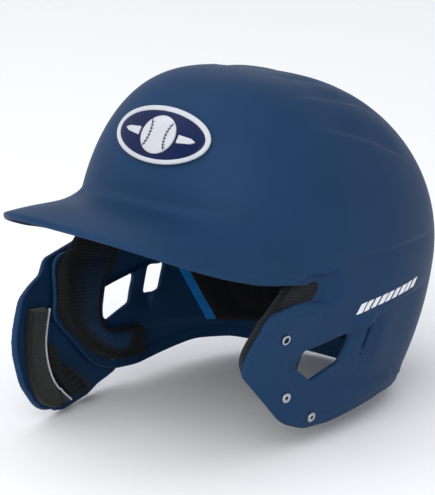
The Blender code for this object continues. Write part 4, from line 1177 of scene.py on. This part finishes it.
def build_badge():
    """Oval badge: raised white ring, blue inset, and a ball between two bars."""
    white = gloss_resin("gloss_resin_white", "#BCBEC4", 0.22)
    blue = gloss_resin("gloss_resin_blue", "#041740", 0.20)
    turn = np.linspace(0, 2 * math.pi, 120, endpoint=False)
    oval = np.stack([BADGE_HALF_WIDTH * np.cos(turn), BADGE_HALF_RISE * np.sin(turn)], axis=1)
    low, high = BADGE_LIFT, BADGE_LIFT + BADGE_RIM_HEIGHT
    # The rim's section is a rounded oblong.
    half, steps = BADGE_RING * 0.41, 16
    section = []
    for k in range(steps):
        across, up = (math.copysign(abs(value) ** 0.6, value)
                      for value in (math.cos(2 * math.pi * k / steps), math.sin(2 * math.pi * k / steps)))
        section.append((half - half * across, (low + high) / 2 + (high - low) / 2 * up))
    outward = unit(np.stack([np.cos(turn) / BADGE_HALF_WIDTH, np.sin(turn) / BADGE_HALF_RISE], axis=1))
    rows = np.stack([badge_points(*(oval - outward * inset).T, lift) for inset, lift in section])
    faces = ring_faces(steps, len(turn), closed=True)
    ring = add_piece("badge_rim", rows.reshape(-1, 3), faces, white)
    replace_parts(ring, "badge_ring")
    plate = oval - outward * (2 * half - 0.0004)
    plate_top = BADGE_LIFT + BADGE_PLATE_HEIGHT
    emblem("badge_inset", "badge_plate", plate, BADGE_LIFT, plate_top, 0.0004, blue, 14)
    low, radius = plate_top, EMBLEM_RADIUS
    ball = np.stack([radius * np.cos(turn), radius * np.sin(turn)], axis=1)
    emblem("badge_emblem_ball", "badge_ball", ball, low, low + EMBLEM_HEIGHT, 0.0004, white)
    for side, flip in FLIP.items():
        bar = rounded_outline(((0.0160, -0.0030, 0.0006), (0.0258, -0.0019, 0.0010), (0.0295, 0.0, 0.0006),
                               (0.0258, 0.0019, 0.0010), (0.0160, 0.0030, 0.0006)), 5)
        bar = bar * np.array([flip, 1.0])
        emblem("badge_emblem_bar_" + side, "badge_bar_" + side, bar, low, low + EMBLEM_HEIGHT, 0.0003, white,
               4)
        # Two seam lines with short stitches, as on any ball.
        t = np.linspace(-1.1, 1.1, 52)
        seam_x = flip * (0.0160 - 0.0094 * np.cos(t * 0.95))
        seam_y = 0.0140 * np.sin(t)
        keep = np.hypot(seam_x, seam_y) < radius - 0.0004
        path = badge_points(seam_x[keep], seam_y[keep], low + SEAM_LIFT)
        points, faces = tube(path, 0.00032, 6)
        for k in np.nonzero(keep)[0][2:-2:4]:
            x, y = seam_x[k], seam_y[k]
            lean, rise = flip * 0.0013, 0.0009
            stitch = badge_points([x - lean, x, x + lean * 0.9], [y + rise, y, y + rise], low + SEAM_LIFT)
            more, quads = tube(stitch, 0.00022, 6)
            faces += [[v + len(points) for v in face] for face in quads]
            points = list(points) + list(more)
        add_piece("badge_seam_" + side, points, faces, blue)


# ---------------------------------------------------------------- printed bars and fasteners
def build_side_bars():
    """Generic slanted bars in a raised print along each side, over the ear."""
    ink = printed_ink()
    for side, flip in FLIP.items():
        points, faces = [], []
        mirror = np.array([flip, 1, 1])
        for index in range(SIDE_BAR_COUNT):
            start = SIDE_BAR_START[0] + index * SIDE_BAR_PITCH
            width = 0.0050 if index % 3 else 0.0058
            up, across = unit_grid(14, 8)
            rise = SIDE_BAR_RISE * (1.0 - 0.012 * index)
            y = start + width * across + SIDE_BAR_LEAN * up
            z = SIDE_BAR_START[1] + SIDE_BAR_CLIMB * start + rise * up + 0.225 * width * across
            place = side_place(y, z)
            relief = shell_relief(dome(*place).reshape(-1, 3)).reshape(y.shape)
            more, quads = slab(over_dome(*place, relief + PRINT_LIFT) * mirror,
                               over_dome(*place, relief - PRINT_ROOT) * mirror)
            faces += [[v + len(points) for v in face] for face in quads]
            points += list(more)
        add_piece("side_bars_" + side, points, faces, ink, sharp=40)


def hole_frame(place, side):
    """Matrix whose z axis is the outward normal at a flap hole."""
    place = side_place(*(np.array([value]) for value in place))
    normal, point = Vector(dome_normal(*place)[0]), Vector(dome(*place)[0])
    normal.x *= FLIP[side]
    point.x *= FLIP[side]
    return Matrix.Translation(point) @ normal.to_track_quat("Z", "Y").to_matrix().to_4x4()


def build_fasteners():
    """Screws of both flaps; the right side's hold the jaw guard."""
    steel = plated_steel("zinc_plated_turned", "#C9CCD0", "#8B8F95", 0.30)
    # Painted shade: near-black steel colours the inside of each socket, standing for the shade in the hole.
    dark = plated_steel("socket_painted_shade", "#2A2B2E", "#111214", 0.55)
    nut = plated_steel("zinc_plated_nut", "#B9BCC0", "#7C8086", 0.38)
    for side, kind, stack in (("left", "flap", 0.0), ("right", "guard", GUARD_STACK)):
        for index, place in enumerate(FASTENER_PLACES, 1):
            name = f"{kind}_screw_{index}"
            seat = stack + FIT_GAP
            top = seat + HEAD_HEIGHT
            socket = 0.0021 if index == 1 else 0.0013
            foot = -WALL - LINER_GAP + FIT_GAP
            profile = [(0.0, foot), (SHANK_RADIUS, foot), (SHANK_RADIUS, seat), (HEAD_RADIUS, seat)]
            profile += [(HEAD_RADIUS - 0.0005 + 0.0005 * math.cos(a), top - 0.0005 + 0.0005 * math.sin(a))
                        for a in np.linspace(0, math.pi / 2, 6)]
            profile += [(socket + 0.0003, top + 0.0001), (socket, top - 0.0002), (socket, top - 0.0016),
                        (0.0, top - 0.0017)]
            # The two rings of the socket's wall are hexagons, except in the upper screw.
            points, faces = turned(profile, (11, 12) if index > 1 else ())
            seated = hole_frame(place, side)
            points = [tuple(seated @ Vector(point)) for point in points]
            screw = add_piece(name + "_turned", points, faces, steel, sharp=35)
            # The socket's wall and floor take the near-black steel as painted shade.
            screw.data.materials.append(dark)
            for face in screw.data.polygons[SCREW_SIDES * (len(profile) - 3):]:
                face.material_index = 1
            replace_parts(screw, name)
            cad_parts[name + "_nut"].material_slots[0].material = nut


# ---------------------------------------------------------------- stage
def build_stage():
    """Pale floor, soft studio lights and the camera."""
    floor_mesh = bpy.data.meshes.new("floor")
    floor_mesh.from_pydata([(-6, -6, 0), (6, -6, 0), (6, 6, 0), (-6, 6, 0)], [], [(0, 1, 2, 3)])
    floor_mesh.materials.append(mottled("painted_floor", {"Roughness": 0.85}, linear("#F4F5F6"),
                                        linear("#F8F8F9"), {"Scale": 1.2, "Detail": 2.0}))
    floor = bpy.data.objects.new("floor", floor_mesh)
    bpy.context.scene.collection.objects.link(floor)

    world = bpy.context.scene.world or bpy.data.worlds.new("studio")
    bpy.context.scene.world = world
    world.use_nodes = True
    background = world.node_tree.nodes["Background"]
    background.inputs["Color"].default_value = linear("#F4F6FA")
    background.inputs["Strength"].default_value = 0.88
    bpy.context.scene.view_settings.view_transform = "Standard"

    for name, place, size, power in LIGHTS:
        data = bpy.data.lights.new(name, "AREA")
        data.shape = "DISK"
        data.size = size
        data.energy = power
        light = bpy.data.objects.new(name, data)
        light.location = place
        light.rotation_euler = (LIGHT_TARGET - Vector(place)).to_track_quat("-Z", "Y").to_euler()
        bpy.context.scene.collection.objects.link(light)

    data = bpy.data.cameras.new("camera")
    data.lens = CAMERA_LENS
    data.sensor_width = 36.0
    data.clip_start = 0.05
    camera = bpy.data.objects.new("camera", data)
    level = math.cos(CAMERA_ELEVATION)
    away = Vector((math.sin(CAMERA_AZIMUTH) * level, -math.cos(CAMERA_AZIMUTH) * level,
                   math.sin(CAMERA_ELEVATION)))
    camera.location = Vector(CAMERA_TARGET) + away * CAMERA_DISTANCE
    camera.rotation_euler = (-away).to_track_quat("-Z", "Y").to_euler()
    bpy.context.scene.collection.objects.link(camera)
    bpy.context.scene.camera = camera


# ---------------------------------------------------------------- operators and panel
class BuildStep:
    """What the steps share: each builds its pieces."""

    def execute(self, context):
        self.build()
        return {"FINISHED"}


class HELMET_OT_shell(BuildStep, Operator):
    """Build the moulded shell"""
    bl_idname = "helmet.shell"
    bl_label = "Shell"
    build = staticmethod(build_shell)


class HELMET_OT_guard(BuildStep, Operator):
    """Build the jaw guard"""
    bl_idname = "helmet.guard"
    bl_label = "Jaw Guard"
    build = staticmethod(build_guard)


class HELMET_OT_guard_pads(BuildStep, Operator):
    """Build the pads and piping of the jaw guard"""
    bl_idname = "helmet.guard_pads"
    bl_label = "Guard Pads"
    build = staticmethod(build_guard_pads)


class HELMET_OT_liner(BuildStep, Operator):
    """Build the padded liner"""
    bl_idname = "helmet.liner"
    bl_label = "Liner"
    build = staticmethod(build_liner)


class HELMET_OT_badge(BuildStep, Operator):
    """Build the forehead badge"""
    bl_idname = "helmet.badge"
    bl_label = "Badge"
    build = staticmethod(build_badge)


class HELMET_OT_side_bars(BuildStep, Operator):
    """Build the printed bars on the sides"""
    bl_idname = "helmet.side_bars"
    bl_label = "Side Bars"
    build = staticmethod(build_side_bars)


class HELMET_OT_fasteners(BuildStep, Operator):
    """Build the screws and finish their nuts"""
    bl_idname = "helmet.fasteners"
    bl_label = "Fasteners"
    build = staticmethod(build_fasteners)


class HELMET_OT_stage(BuildStep, Operator):
    """Build the floor, lights and camera"""
    bl_idname = "helmet.stage"
    bl_label = "Stage"
    build = staticmethod(build_stage)


OPERATORS = (HELMET_OT_shell, HELMET_OT_guard, HELMET_OT_guard_pads, HELMET_OT_liner, HELMET_OT_badge,
             HELMET_OT_side_bars, HELMET_OT_fasteners, HELMET_OT_stage)


class HELMET_PT_panel(Panel):
    """Batting helmet builder"""
    bl_idname = "HELMET_PT_panel"
    bl_label = "Batting Helmet"
    bl_space_type = "VIEW_3D"
    bl_region_type = "UI"
    bl_category = "Helmet"

    def draw(self, context):
        for name in ("columns", "rim_radius", "shell_colour", "foam_colour"):
            self.layout.prop(context.scene.batting_helmet, name)
        for operator in OPERATORS:
            self.layout.operator(operator.bl_idname)


CLASSES = (HelmetSettings,) + OPERATORS + (HELMET_PT_panel,)


def register():
    """Add the classes and the scene's settings."""
    for item in CLASSES:
        bpy.utils.register_class(item)
    bpy.types.Scene.batting_helmet = PointerProperty(type=HelmetSettings)


def unregister():
    """Take them away again."""
    del bpy.types.Scene.batting_helmet
    for item in reversed(CLASSES):
        bpy.utils.unregister_class(item)


def main():
    """Build the whole helmet."""
    register()
    for operator in OPERATORS:
        getattr(bpy.ops.helmet, operator.bl_idname.split(".")[1])()


if __name__ == "__main__":
    main()
